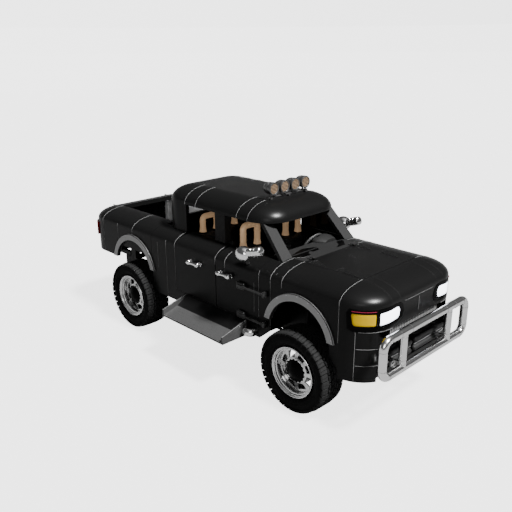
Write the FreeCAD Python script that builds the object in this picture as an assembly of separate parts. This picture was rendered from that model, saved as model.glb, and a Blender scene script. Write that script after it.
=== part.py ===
"""Lifted off-road 4x4 crew-cab pickup, in millimetres.

X points forward, Y to the vehicle's left, Z up, and the ground is at Z = 0.
While it is built, X = 0 lies midway between the axles.  Every piece is then moved
along X so that the origin is at the middle of the whole vehicle's length.
"""
import FreeCAD
import Part
import math
import os

os.makedirs("parts", exist_ok=True)
V = FreeCAD.Vector

# Wheels and axles
WHEELBASE = 3070.0
TYRE_DIA = 940.0
TYRE_WIDTH = 345.0
TYRE_PROUD = 119.0
TREAD_DEPTH = 18.0
BLOCK_COUNT = 36
RIM_DIA = 588.0
RIM_WALL = 14.0
SPOKE_WINDOWS = 8
HUB_FACE_DIA = 190.0
KINGPIN_INSET = 92.0
AXLE_TUBE_DIA = 84.0
DIFF_DIA = 270.0
PINION_OUT = 70.0
SHAFT_Y = -90.0
STUB_R = 40.0
FLANGE_R = 86.0
WHEEL_STUB_END = 20.3
FORK_GAP = 92.0
FORK_THICK = 26.0
KINGPIN_R = 15.0
ARM_LENGTH = 150.0
ARM_DROP = 52.0
TIE_PIN_R = 9.0
PIN_CLEARANCE = 0.3

# Body shell
BODY_HALF = 850.0
SHOULDER_Z = 1400.0
ROUND = 370.0
ROUND_RISE = 157.0
FRONT_OVERHANG = 905.0
REAR_OVERHANG = 1155.0
SKIN = 30.0
SILL_Z = 650.0
REAR_SILL_Z = 940.0
NOSE_BOTTOM_Z = 592.0
PANEL_GAP = 6.0
SEAT_GAP = 0.3
APRON_OUT = 55.0

# Wheel arches
ARCH_Z = 838.0
ARCH_RADIUS = 425.0
ARCH_SIDE = 412.0
FLARE_BAND = 82.0
FLARE_PROUD = 24.0
FLARE_END_Z = 945.0

# Doors and cab
DOOR_THICK = 80.0
DOOR_BOTTOM_Z = 806.0
DOOR_FRONT_X = 937.0
DOOR_SPLIT_X = 210.0
DOOR_REAR_X = -580.0
DOOR_TOP_IN = 250.0
DOOR_REAR_SLANT = 0.24
REAR_PIN_BACK = 20.0
REAR_PIN_IN = 15.0
REAR_PIN_HEIGHTS = (950.0, 1280.0)
REAR_KNUCKLE_HEIGHT = 50.0
REAR_KNUCKLE_R = 10.0
REAR_PIN_R = 6.0
HINGE_AHEAD = 120.0
HINGE_OUT = 40.0
HINGE_HEIGHTS = (1212.0, 855.0)
HINGE_PIN_R = 9.0
STRAP_LENGTH = 330.0
STRAP_HALF = 12.0
STRAP_PAD = 125.0
HANDLE_X = (398.0, -165.0)
HANDLE_Z = 1275.0
HANDLE_LENGTH = 235.0
HANDLE_OUT = 44.0
MIRROR_X = 744.0
MIRROR_OUT = 35.0
MIRROR_Z = 1617.0
MIRROR_HALF_LENGTH = 105.0
MIRROR_R = 88.0
CAB_BACK_X = -1095.0
CAB_IN = 195.0
FLOOR_TOP_Z = 790.0
FLOOR_THICK = 45.0
FIREWALL_X = 1060.0
COWL_REAR_X = 1116.0
HOOD_REAR_X = 1290.0
HOOD_THICK = 32.0
HOOD_HINGE_IN = 120.0
HOOD_PIN_R = 4.0
HOOD_EYE_R = 8.0

# Roof
ROOF_SPRING_Z = 1905.0
ROOF_ROUND = 345.0
ROOF_RISE = 197.0
ROOF_FRONT_X = 903.0
ROOF_THICK = 45.0
PILLAR_THICK = 45.0
B_PILLAR_REAR_X = -8.0
B_PILLAR_FRONT_X = 172.0
C_PILLAR_X = -565.0
A_PILLAR_FOOT_X = 1105.0
A_PILLAR_LEAN = 0.969
A_PILLAR_HEAD_IN = 67.0
REAR_WINDOW_IN = 235.0
ROOF_LAMP_X = 588.0
ROOF_LAMP_Y = (91.0, 272.0)
ROOF_LAMP_R = 76.0
ROOF_LAMP_UP = 128.0

# Bed and tailgate
BED_FRONT_X = -1101.0
BED_FLOOR_Z = 960.0
BED_WALL = 40.0
TAILGATE_BOTTOM_Z = 946.0
TAILGATE_THICK = 60.0
GATE_PIN_R = 8.0
TAIL_LAMP_PROUD = 28.0

# Chassis
RAIL_IN = 100.0
RAIL_WIDTH = 80.0
RAIL_BOTTOM_Z = 612.0
RAIL_TOP_Z = 745.0
RAIL_FRONT_SETBACK = 150.0
RAIL_REAR_SETBACK = 250.0
CROSS_TUBE_R = 38.0
CROSS_TUBE_X = (-160.0, -980.0, -2050.0)
BED_MOUNT_X = (-1300.0, -1800.0, -2230.0)
RECEIVER_HALF = 32.0
RECEIVER_WALL = 6.5
RECEIVER_OUT = 90.0
RECEIVER_PIN_IN = 60.0
RECEIVER_PIN_R = 8.0
LINK_OUT = 15.0
LINK_R = 22.0
LINK_REACH = 760.0
SPRING_OUT = 110.0
SPRING_R = 54.0
ENGINE_AHEAD = 190.0
ENGINE_SETBACK = 490.0
ENGINE_IN = 120.0
ENGINE_Z = (700.0, 1370.0)
EXHAUST_X = 862.0
EXHAUST_Z = 692.0
EXHAUST_R = 50.0
EXHAUST_OUT = 55.0

# Front end
BAR_AHEAD = 116.0
BAR_TUBE_DIA = 90.0
BAR_IN = 74.0
BAR_LOW_Z = 731.0
BAR_HIGH_Z = 1131.0
BAR_POST_IN = 347.0
LAMP_LOW_Z = 1203.0
LAMP_HIGH_Z = 1380.0
LAMP_INNER_IN = 130.0
LAMP_BACK = 112.0
LAMP_SPLIT_DEG = 27.0
LAMP_OUTER_DEG = 71.0
GRILLE_IN = 33.0
GRILLE_LOW_Z = 1027.0
GRILLE_HIGH_Z = 1146.0
GRILLE_RIBS = 30
GRILLE_INSET = 42.0
BUMPER_TOP_Z = 1142.0
BUMPER_RECESS_IN = 210.0

# Side steps
STEP_REAR_X = -366.0
STEP_FRONT_X = 742.0
STEP_TOP_Z = 800.0
STEP_BREAK_OUT = 158.0
STEP_BREAK_Z = 694.0
STEP_OUT = 375.0
STEP_EDGE_Z = 612.0
STEP_EDGE_HEIGHT = 88.0
STEP_PLATE = 22.0
STEP_END_PLATE = 26.0

# Cabin
STEER_COLUMN_DEG = 65.0
STEER_WHEEL_X = 665.0
STEER_WHEEL_Z = 1400.0
STEER_WHEEL_R = 185.0
SEAT_IN = 230.0
SEAT_WIDTH = 400.0
SEAT_LENGTH = 480.0
SEAT_BASE_Z = 1010.0
SEAT_TOP_Z = 1150.0
SEAT_BACK_Z = 1500.0
HOOP_X = 310.0
HOOP_HALF = 117.0
HOOP_TOP_Z = 1800.0
HOOP_R = 38.0
REAR_SEAT_IN = 60.0
REAR_HOOP_X = -560.0
REAR_HOOP_IN = 263.0
REAR_HOOP_TOP_Z = 1738.0

# Worked out from the sizes above
TYRE_R = TYRE_DIA / 2
RIM_R = RIM_DIA / 2
AXLE_X = WHEELBASE / 2
NOSE_X = AXLE_X + FRONT_OVERHANG
TAIL_X = -AXLE_X - REAR_OVERHANG
WHEEL_Y = BODY_HALF + TYRE_PROUD - TYRE_WIDTH / 2
KINGPIN_Y = WHEEL_Y - KINGPIN_INSET
TOP_Z = SHOULDER_Z + ROUND_RISE
NOSE_CX = NOSE_X - ROUND
TAIL_CX = TAIL_X + ROUND
FLAT_Y = BODY_HALF - ROUND
DOOR_TOP_Y = BODY_HALF - DOOR_TOP_IN
CAB_HALF = BODY_HALF - CAB_IN
SEAT_Y = DOOR_TOP_Y - SEAT_IN
REAR_SEAT_HALF = DOOR_TOP_Y - REAR_SEAT_IN
REAR_HOOP_Y = REAR_SEAT_HALF - REAR_HOOP_IN
STEER_WHEEL_AT = (STEER_WHEEL_X, SEAT_Y, STEER_WHEEL_Z)
A_PILLAR_INNER_Y = FLAT_Y
A_PILLAR_HEAD_Y = CAB_HALF - A_PILLAR_HEAD_IN
TAILGATE_HALF = FLAT_Y - PANEL_GAP
RAIL_FRONT_X = NOSE_X - RAIL_FRONT_SETBACK
RAIL_REAR_X = TAIL_X + RAIL_REAR_SETBACK
BAR_X = NOSE_X + BAR_AHEAD
BAR_HALF = BODY_HALF - BAR_IN
BAR_POST_Y = BAR_HALF - BAR_POST_IN
LAMP_INNER_Y = FLAT_Y - LAMP_INNER_IN
GRILLE_HALF = FLAT_Y - GRILLE_IN
RAIL_Y = FLAT_Y - RAIL_IN
HOOD_HINGE_Y = FLAT_Y - HOOD_HINGE_IN
ENGINE_REAR_X = FIREWALL_X + ENGINE_AHEAD
ENGINE_FRONT_X = NOSE_X - ENGINE_SETBACK
ENGINE_HALF = RAIL_Y - ENGINE_IN
BUMPER_RECESS_HALF = BODY_HALF - BUMPER_RECESS_IN
STEP_BREAK_Y = BODY_HALF + STEP_BREAK_OUT
STEP_OUT_Y = BODY_HALF + STEP_OUT
ROOF_TOP_Z = ROOF_SPRING_Z + ROOF_RISE
FLARE_RADIUS = ARCH_RADIUS + FLARE_BAND
ARM_Z = TYRE_R - ARM_DROP
SPRING_Y = RAIL_Y + SPRING_OUT
LINK_Y = RAIL_Y + LINK_OUT
PAD_TOP_Z = TYRE_R + AXLE_TUBE_DIA / 2 + 6
REAR_PIN_X = DOOR_SPLIT_X - REAR_PIN_BACK
REAR_PIN_Y = BODY_HALF - REAR_PIN_IN
HINGE_X = DOOR_FRONT_X + HINGE_AHEAD
HINGE_Y = BODY_HALF + HINGE_OUT
HOOD_PIN_X = HOOD_REAR_X - 2
HOOD_PIN_Z = TOP_Z + HOOD_EYE_R + 1
GATE_PIN_X = TAIL_X + TAILGATE_THICK - 28
GATE_PIN_Z = TAILGATE_BOTTOM_Z + 14
BED_REAR_X = TAIL_X + TAILGATE_THICK + 14
FRONT_END_X = BAR_X + BAR_TUBE_DIA / 2
REAR_END_X = TAIL_X - TAIL_LAMP_PROUD
SHIFT_X = -(FRONT_END_X + REAR_END_X) / 2


def box(x0, x1, y0, y1, z0, z1):
    """Block between two corners, given in any order."""
    low = V(min(x0, x1), min(y0, y1), min(z0, z1))
    return Part.makeBox(abs(x1 - x0), abs(y1 - y0), abs(z1 - z0), low)


def cyl(start, end, radius):
    """Round bar from one point to another."""
    start = V(*start)
    along = V(*end) - start
    return Part.makeCylinder(radius, along.Length, start, along)


def prism(points, along):
    """Solid made by pushing a flat outline along a direction."""
    wire = Part.makePolygon([V(*p) for p in points] + [V(*points[0])])
    return Part.Face(wire).extrude(V(*along))


def prism_x(outline, x0, x1):
    return prism([(x0, y, z) for y, z in outline], (x1 - x0, 0, 0))


def prism_y(outline, y0, y1):
    return prism([(x, y0, z) for x, z in outline], (0, y1 - y0, 0))


def prism_z(outline, z0, z1):
    return prism([(x, y, z0) for x, y in outline], (0, 0, z1 - z0))


def join(shapes):
    """One solid from shapes that overlap or touch."""
    first, rest = shapes[0], shapes[1:]
    return first.fuse(rest).removeSplitter() if rest else first


def group(shapes):
    """Solids that share a node without touching."""
    solids = []
    for shape in shapes:
        solids.extend(shape.Solids)
    return Part.makeCompound(solids)


def mirrored(shape):
    """The same piece on the vehicle's other side."""
    return shape.mirror(V(0, 0, 0), V(0, 1, 0))


def pair(shape):
    return group([shape, mirrored(shape)])


def pipe(points, bend, radius):
    """Round tube along straight runs joined by arcs of one bend radius."""
    points = [V(*p) for p in points]
    edges = []
    start = points[0]
    for before, corner, after in zip(points, points[1:], points[2:]):
        u = (before - corner).normalize()
        w = (after - corner).normalize()
        half = u.getAngle(w) / 2
        trim = bend / math.tan(half)
        a = corner + u * trim
        b = corner + w * trim
        middle = corner + (u + w).normalize() * (bend / math.sin(half) - bend)
        edges.append(Part.LineSegment(start, a).toShape())
        edges.append(Part.Arc(a, middle, b).toShape())
        start = b
    edges.append(Part.LineSegment(start, points[-1]).toShape())
    path = Part.Wire(edges)
    ring = Part.Wire(Part.Circle(points[0], points[1] - points[0], radius).toShape())
    return path.makePipeShell([ring], True, False)


def round_section(run, rise, base_z, spring_z):
    """Outline of a wall that turns over into a flat top by a quarter ellipse.

    It lies in the XZ plane: its inner edge is X = 0 and its wall is at X = run.
    """
    top_z = spring_z + rise
    ends = (V(run, 0, spring_z), V(0, 0, top_z))
    mid = V(run * math.sqrt(0.5), 0, spring_z + rise * math.sqrt(0.5))
    centre = V(0, 0, spring_z)
    if run >= rise:
        ellipse = Part.Ellipse(V(run, 0, spring_z), V(0, 0, top_z), centre)
    else:
        ellipse = Part.Ellipse(V(0, 0, top_z), V(run, 0, spring_z), centre)
    first = ellipse.parameter(ends[0])
    last = ellipse.parameter(ends[1])
    arc = Part.ArcOfEllipse(ellipse, min(first, last), max(first, last))
    if (arc.value((arc.FirstParameter + arc.LastParameter) / 2) - mid).Length > 1:
        arc = Part.ArcOfEllipse(ellipse, max(first, last), min(first, last) + 2 * math.pi)
    lines = [
        Part.LineSegment(V(0, 0, base_z), V(run, 0, base_z)).toShape(),
        arc.toShape(),
        Part.LineSegment(ends[1], V(0, 0, base_z)).toShape(),
    ]
    if spring_z > base_z:
        lines.append(Part.LineSegment(V(run, 0, base_z), ends[0]).toShape())
    return Part.Face(Part.Wire(Part.__sortEdges__(lines)))


def rounded_box(x_rear, x_front, half, run, rise, base_z, spring_z):
    """Block whose top edges and upright corners are rounded like a car's body."""
    flat = half - run
    rear_cx, front_cx = x_rear + run, x_front - run
    section = round_section(run, rise, base_z, spring_z)
    quarter = section.revolve(V(0, 0, 0), V(0, 0, 1), 90)
    core = box(rear_cx, front_cx, -flat, flat, base_z, spring_z + rise)
    pieces = []
    sides = [(0, 2 * flat, front_cx, -flat), (90, front_cx - rear_cx, front_cx, flat),
             (180, 2 * flat, rear_cx, flat), (270, front_cx - rear_cx, rear_cx, -flat)]
    for angle, length, x, y in sides:
        wall = section.extrude(V(0, length, 0))
        wall.rotate(V(0, 0, 0), V(0, 0, 1), angle)
        pieces.append(wall.translated(V(x, y, 0)))
    corners = [(0, front_cx, flat), (90, rear_cx, flat), (180, rear_cx, -flat),
               (270, front_cx, -flat)]
    for angle, x, y in corners:
        dome = quarter.copy()
        dome.rotate(V(0, 0, 0), V(0, 0, 1), angle)
        pieces.append(dome.translated(V(x, y, 0)))
    return core.fuse(pieces)


def body_form(inset, base_z=SILL_Z):
    """The body's outer form, drawn in by an inset."""
    return rounded_box(TAIL_X + inset, NOSE_X - inset, BODY_HALF - inset,
                       ROUND - inset, ROUND_RISE - inset, base_z, SHOULDER_Z)


def roof_form(inset):
    return rounded_box(CAB_BACK_X + inset, ROOF_FRONT_X - inset, CAB_HALF - inset,
                       ROOF_ROUND - inset, ROOF_RISE - inset, ROOF_SPRING_Z - 60 - inset,
                       ROOF_SPRING_Z)


LOW_Z = NOSE_BOTTOM_Z - 10
OUTER = body_form(0, LOW_Z)
HOLLOW_SKIN = body_form(SKIN, LOW_Z - 10)
HOLLOW_DOOR = body_form(DOOR_THICK, LOW_Z - 10)
ON_BODY = body_form(-SEAT_GAP, LOW_Z)


def arch_cutter(x, y0, y1):
    """Space that a wheel arch opens in the body's side."""
    top = cyl((x, y0, ARCH_Z), (x, y1, ARCH_Z), ARCH_RADIUS)
    legs = box(x - ARCH_SIDE, x + ARCH_SIDE, y0, y1, LOW_Z - 100, ARCH_Z)
    return top.fuse(legs)


def fenders():
    """Front wings from the doors to the nose, with a ledge that carries the hood."""
    x0 = DOOR_FRONT_X + PANEL_GAP / 2
    x1 = NOSE_CX - SEAT_GAP / 2
    region = box(x0, x1, -BODY_HALF - 1, -FLAT_Y, SILL_Z - 20, TOP_Z + 1)
    wing = OUTER.cut(HOLLOW_SKIN).common(region)
    wing = wing.cut(arch_cutter(AXLE_X, -BODY_HALF - 50, -BODY_HALF + 120))
    wing = wing.cut(prism_y(rear_chamfer(), -BODY_HALF - 50, -BODY_HALF + 120))
    wing = wing.cut(prism_y(front_chamfer(), -BODY_HALF - 50, -BODY_HALF + 120))
    ledge_top = TOP_Z - HOOD_THICK - SEAT_GAP
    ledge = box(HOOD_REAR_X, x1, -FLAT_Y - 30, -FLAT_Y + 40, ledge_top - 25, ledge_top)
    ledge = ledge.cut(box(x0, x1 + 1, -FLAT_Y - 40, -FLAT_Y, TOP_Z - SKIN, TOP_Z))
    web = box(HOOD_REAR_X, x1, -FLAT_Y - 30, -FLAT_Y, ledge_top - 25, TOP_Z - SKIN + 1)
    apron_in = RAIL_Y + APRON_OUT
    apron = box(FIREWALL_X, x1, -apron_in - 20, -apron_in, RAIL_TOP_Z, ledge_top - 24)
    ledge_in = box(HOOD_REAR_X, x1, -FLAT_Y - 30, -apron_in, ledge_top - 25, ledge_top - 5)
    side = join([wing, ledge, web, apron, ledge_in])
    return pair(side)


def rear_chamfer():
    """Cut below the wing's rear corner, rising towards the front wheel."""
    top_x = AXLE_X - ARCH_SIDE
    return [(DOOR_FRONT_X - 10, SILL_Z - 30), (DOOR_FRONT_X - 10, SILL_Z - 10),
            (DOOR_FRONT_X + 15, SILL_Z), (top_x, SILL_Z + 145), (top_x + 20, SILL_Z - 30)]


def front_chamfer():
    low_x = AXLE_X + ARCH_SIDE
    return [(low_x - 20, SILL_Z - 30), (low_x, SILL_Z + 145), (NOSE_CX + 20, SILL_Z + 20),
            (NOSE_CX + 40, SILL_Z - 30)]


def hood():
    """Flat lid between the cowl and the nose, with an eye for each hinge pin."""
    x0 = HOOD_REAR_X + PANEL_GAP / 2
    x1 = NOSE_CX - PANEL_GAP
    half = FLAT_Y - PANEL_GAP / 2
    lid = box(x0, x1, -half, half, TOP_Z - HOOD_THICK, TOP_Z)
    low_z = TOP_Z - HOOD_THICK - 12
    parts = [lid, box(x0 + 60, x1 - 60, -half + 80, half - 80, low_z, TOP_Z - HOOD_THICK)]
    for y in (-HOOD_HINGE_Y, HOOD_HINGE_Y):
        ends = ((HOOD_PIN_X, y - 15, HOOD_PIN_Z), (HOOD_PIN_X, y + 15, HOOD_PIN_Z))
        eye = cyl(ends[0], ends[1], HOOD_EYE_R)
        leaf = box(HOOD_PIN_X, x0 + 46, y - 15, y + 15, HOOD_PIN_Z, HOOD_PIN_Z + 6)
        foot = box(x0 + 20, x0 + 46, y - 15, y + 15, TOP_Z, HOOD_PIN_Z + 6)
        parts.append(join([eye, leaf, foot]).cut(cyl(ends[0], ends[1], HOOD_PIN_R + PIN_CLEARANCE)))
    return join(parts)


def hood_hinges():
    """Pins behind the hood's rear edge, each held by two lugs on the cowl."""
    parts = []
    for y in (-HOOD_HINGE_Y, HOOD_HINGE_Y):
        pin = cyl((HOOD_PIN_X, y - 32, HOOD_PIN_Z), (HOOD_PIN_X, y + 32, HOOD_PIN_Z), HOOD_PIN_R)
        lugs = []
        for y0 in (y - 32, y + 17):
            lugs.append(cyl((HOOD_PIN_X, y0, HOOD_PIN_Z), (HOOD_PIN_X, y0 + 15, HOOD_PIN_Z), HOOD_EYE_R))
            lugs.append(box(HOOD_PIN_X - 40, HOOD_PIN_X - 2, y0, y0 + 15, TOP_Z, HOOD_PIN_Z))
        parts.append(join([pin] + lugs))
    return group(parts)


def cowl():
    """Panel between the windscreen's foot and the hood, out to the wings."""
    rear = COWL_REAR_X - 60
    front = HOOD_REAR_X - PANEL_GAP / 2
    top = box(rear, front, -FLAT_Y, FLAT_Y, TOP_Z - SKIN, TOP_Z)
    lip_half = RAIL_Y + APRON_OUT - SEAT_GAP
    lip = box(front - 25, front, -lip_half, lip_half, TOP_Z - 110, TOP_Z - SKIN)
    return join([top, lip])


def nose():
    """Curved front panel with its corners, and the plain panel between the lamps."""
    x0 = NOSE_CX + SEAT_GAP / 2
    shell = OUTER.cut(HOLLOW_SKIN)
    reach = BODY_HALF + 5
    upper = shell.common(box(x0, NOSE_X + 5, -reach, reach, LAMP_HIGH_Z + SEAT_GAP, TOP_Z + 5))
    under = shell.common(box(x0, NOSE_X + 5, -reach, reach, BUMPER_TOP_Z + SEAT_GAP,
                             LAMP_LOW_Z - SEAT_GAP))
    under = under.cut(box(x0, NOSE_X + 5, -GRILLE_HALF, GRILLE_HALF, BUMPER_TOP_Z - 5, GRILLE_HIGH_Z))
    middle_half = LAMP_INNER_Y - SEAT_GAP
    middle = shell.common(box(x0, NOSE_X + 5, -middle_half, middle_half,
                              GRILLE_HIGH_Z, LAMP_HIGH_Z + 8))
    corner = shell.common(plan_sector(LAMP_OUTER_DEG + 0.05, 92, BUMPER_TOP_Z + SEAT_GAP,
                                      LAMP_HIGH_Z + 8))
    corner = corner.common(box(x0, NOSE_X, -reach, 0, BUMPER_TOP_Z, TOP_Z))
    back_x = NOSE_X - LAMP_BACK - 18
    back = box(back_x, back_x + 17, -FLAT_Y - 160, FLAT_Y + 160, GRILLE_HIGH_Z + 2, TOP_Z)
    back = back.common(body_form(15, LOW_Z)).cut(lamp_space())
    stays = [box(back_x + 10, NOSE_X - SKIN + 2, s * (middle_half - 22), s * (middle_half - 6),
                 GRILLE_HIGH_Z + 4, LAMP_HIGH_Z + 20) for s in (-1, 1)]
    return join([upper, under, middle, corner, mirrored(corner), back] + stays)


def lamp_space():
    """Room behind the nose's surface that the headlamps and turn lamps fill."""
    ring = OUTER.cut(body_form(LAMP_BACK + SEAT_GAP, LOW_Z - 10))
    side = box(NOSE_CX, NOSE_X + 5, -BODY_HALF, -LAMP_INNER_Y + SEAT_GAP,
               LAMP_LOW_Z - SEAT_GAP, LAMP_HIGH_Z + SEAT_GAP)
    return ring.common(side.fuse(mirrored(side)))


def plan_sector(deg0, deg1, z0, z1, reach=900.0):
    """Wedge about the nose's right corner, from deg0 to deg1 away from straight ahead."""
    outline = [(NOSE_CX, -FLAT_Y)]
    steps = 6
    for i in range(steps + 1):
        angle = math.radians(deg0 + (deg1 - deg0) * i / steps)
        outline.append((NOSE_CX + reach * math.cos(angle), -FLAT_Y - reach * math.sin(angle)))
    return prism_z(outline, z0, z1)


def lamp_block(region, inset):
    """Lamp that follows the body's corner a little below its surface."""
    face = body_form(inset, LOW_Z).cut(body_form(LAMP_BACK, LOW_Z - 10))
    return face.common(region)


def headlamps():
    front = box(NOSE_CX, NOSE_X + 5, -FLAT_Y, -LAMP_INNER_Y, LAMP_LOW_Z, LAMP_HIGH_Z)
    corner = plan_sector(0, LAMP_SPLIT_DEG, LAMP_LOW_Z, LAMP_HIGH_Z)
    return pair(lamp_block(front.fuse(corner), 6))


def turn_lamps():
    region = plan_sector(LAMP_SPLIT_DEG + 0.05, LAMP_OUTER_DEG, LAMP_LOW_Z, LAMP_HIGH_Z)
    return pair(lamp_block(region, 5))


def grille():
    """Upright ribs on a backing plate."""
    x_face = NOSE_X - GRILLE_INSET
    plate = box(x_face - 30, x_face - 12, -GRILLE_HALF, GRILLE_HALF, GRILLE_LOW_Z, GRILLE_HIGH_Z - 1)
    ribs = [plate]
    pitch = 2 * GRILLE_HALF / GRILLE_RIBS
    for i in range(GRILLE_RIBS):
        y = -GRILLE_HALF + pitch * (i + 0.5)
        ribs.append(box(x_face - 13, x_face, y - pitch * 0.32, y + pitch * 0.32,
                        GRILLE_LOW_Z, GRILLE_HIGH_Z - 1))
    return join(ribs)


def front_bumper():
    """Wrap-round bumper in three bands, with a recessed middle carried by the rails."""
    shell = OUTER.cut(body_form(SKIN + 10, LOW_Z - 10))
    x0 = NOSE_CX + SEAT_GAP / 2
    side = shell.common(box(x0, NOSE_X + 5, -BODY_HALF - 5, -BUMPER_RECESS_HALF,
                            NOSE_BOTTOM_Z, BUMPER_TOP_Z))
    side = side.cut(arch_cutter(AXLE_X, -BODY_HALF - 50, -BODY_HALF + 120))
    groove_form = OUTER.cut(body_form(8, LOW_Z - 10))
    band = (BUMPER_TOP_Z - NOSE_BOTTOM_Z) / 3
    for i in (1, 2):
        z = NOSE_BOTTOM_Z + band * i
        side = side.cut(groove_form.common(plan_sector(-20, 62, z - 4, z + 4)))
    x_back = NOSE_X - 150
    inside = body_form(12, LOW_Z)
    wall = box(x_back, x_back + 40, -BODY_HALF, BODY_HALF, NOSE_BOTTOM_Z + 20, BUMPER_TOP_Z - 10)
    shelf = box(x_back, NOSE_X - 60, -BODY_HALF, BODY_HALF, NOSE_BOTTOM_Z + 20, NOSE_BOTTOM_Z + 60)
    lip = box(x_back, NOSE_X - 90, -BUMPER_RECESS_HALF, BUMPER_RECESS_HALF,
              GRILLE_LOW_Z - 140, GRILLE_LOW_Z - 100)
    head = box(x_back, NOSE_X - GRILLE_INSET - 1, -GRILLE_HALF, GRILLE_HALF,
               GRILLE_LOW_Z - 40, GRILLE_LOW_Z)
    wall = wall.cut(box(x_back - 1, NOSE_X, -GRILLE_HALF, GRILLE_HALF, GRILLE_LOW_Z, BUMPER_TOP_Z))
    return join([side, mirrored(side), wall.common(inside), shelf.common(inside), lip, head])


def bull_bar():
    """Closed tube loop with two posts, on arms that reach back to the bumper's shelf."""
    r = BAR_TUBE_DIA / 2
    bend = 95.0
    loop = [(BAR_X, 0, BAR_LOW_Z), (BAR_X, -BAR_HALF, BAR_LOW_Z), (BAR_X, -BAR_HALF, BAR_HIGH_Z),
            (BAR_X, BAR_HALF, BAR_HIGH_Z), (BAR_X, BAR_HALF, BAR_LOW_Z), (BAR_X, 0, BAR_LOW_Z)]
    tube = pipe(loop, bend, r)
    parts = [tube]
    for s in (-1, 1):
        y = s * BAR_POST_Y
        parts.append(cyl((BAR_X, y, BAR_LOW_Z), (BAR_X, y, BAR_HIGH_Z), r * 0.92))
        parts.append(box(NOSE_X - 110, BAR_X, y - 14, y + 14, BAR_LOW_Z - 30, BAR_LOW_Z + 60))
    return join(parts)


def cab_floor():
    """Floor, rockers, firewall and the wall below the rear window's sill."""
    x0 = CAB_BACK_X
    inner = BODY_HALF - DOOR_THICK
    floor = box(x0, FIREWALL_X, -inner, inner, FLOOR_TOP_Z - FLOOR_THICK, FLOOR_TOP_Z)
    firewall = box(FIREWALL_X - 30, FIREWALL_X, -BODY_HALF, BODY_HALF, FLOOR_TOP_Z - 1, TOP_Z)
    firewall = firewall.common(HOLLOW_SKIN)
    rocker = box(x0, DOOR_FRONT_X - PANEL_GAP / 2, -BODY_HALF, -inner + 60, SILL_Z,
                 DOOR_BOTTOM_Z - PANEL_GAP)
    way = cyl((EXHAUST_X, -inner + 100, EXHAUST_Z), (EXHAUST_X, -BODY_HALF - 1, EXHAUST_Z),
              EXHAUST_R + SEAT_GAP)
    rocker = rocker.cut(way)
    back = box(x0, x0 + 40, -DOOR_TOP_Y, DOOR_TOP_Y, FLOOR_TOP_Z - 1, TOP_Z).common(OUTER)
    wing = box(x0, x0 + 40, -inner, inner, FLOOR_TOP_Z - 1, TOP_Z).common(HOLLOW_DOOR)
    return join([floor, firewall, rocker, mirrored(rocker), back, wing])


def cab_quarters():
    """Fixed side panels behind the rear doors."""
    shell = OUTER.cut(HOLLOW_DOOR)
    x1 = DOOR_REAR_X - PANEL_GAP / 2
    panel = shell.common(box(CAB_BACK_X, x1, -BODY_HALF - 1, -DOOR_TOP_Y,
                             DOOR_BOTTOM_Z - PANEL_GAP, TOP_Z))
    return pair(panel)


def door_panel(x_rear, x_front):
    """Half-height door: flat below, turned in over the shoulder to the window's sill."""
    shell = OUTER.cut(HOLLOW_DOOR)
    panel = shell.common(box(x_rear, x_front, -BODY_HALF - 1, -DOOR_TOP_Y, DOOR_BOTTOM_Z, TOP_Z))
    reach = BODY_HALF - DOOR_TOP_Y + 20
    wedge = [(x_rear - 1, -BODY_HALF), (x_rear, -BODY_HALF),
             (x_rear + reach * DOOR_REAR_SLANT, -BODY_HALF + reach), (x_rear - 1, -BODY_HALF + reach)]
    return panel.cut(prism_z(wedge, DOOR_BOTTOM_Z - 1, TOP_Z + 1))


def front_door():
    return door_panel(DOOR_SPLIT_X + PANEL_GAP, DOOR_FRONT_X - PANEL_GAP / 2)


def rear_door():
    """Rear door, notched at its front edge round two fixed knuckles."""
    panel = door_panel(DOOR_REAR_X + PANEL_GAP / 2, DOOR_SPLIT_X - PANEL_GAP)
    for z in REAR_PIN_HEIGHTS:
        half = REAR_KNUCKLE_HEIGHT / 2 + 4
        room = cyl((REAR_PIN_X, -REAR_PIN_Y, z - half), (REAR_PIN_X, -REAR_PIN_Y, z + half),
                   REAR_KNUCKLE_R + 5)
        way = box(REAR_PIN_X - 15, DOOR_SPLIT_X, -REAR_PIN_Y - 6, -BODY_HALF + DOOR_THICK + 5,
                  z - half, z + half)
        bore = cyl((REAR_PIN_X, -REAR_PIN_Y, z - half - 30), (REAR_PIN_X, -REAR_PIN_Y, z + half + 30),
                   REAR_PIN_R + PIN_CLEARANCE)
        panel = panel.cut(room).cut(way).cut(bore)
    return panel


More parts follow.
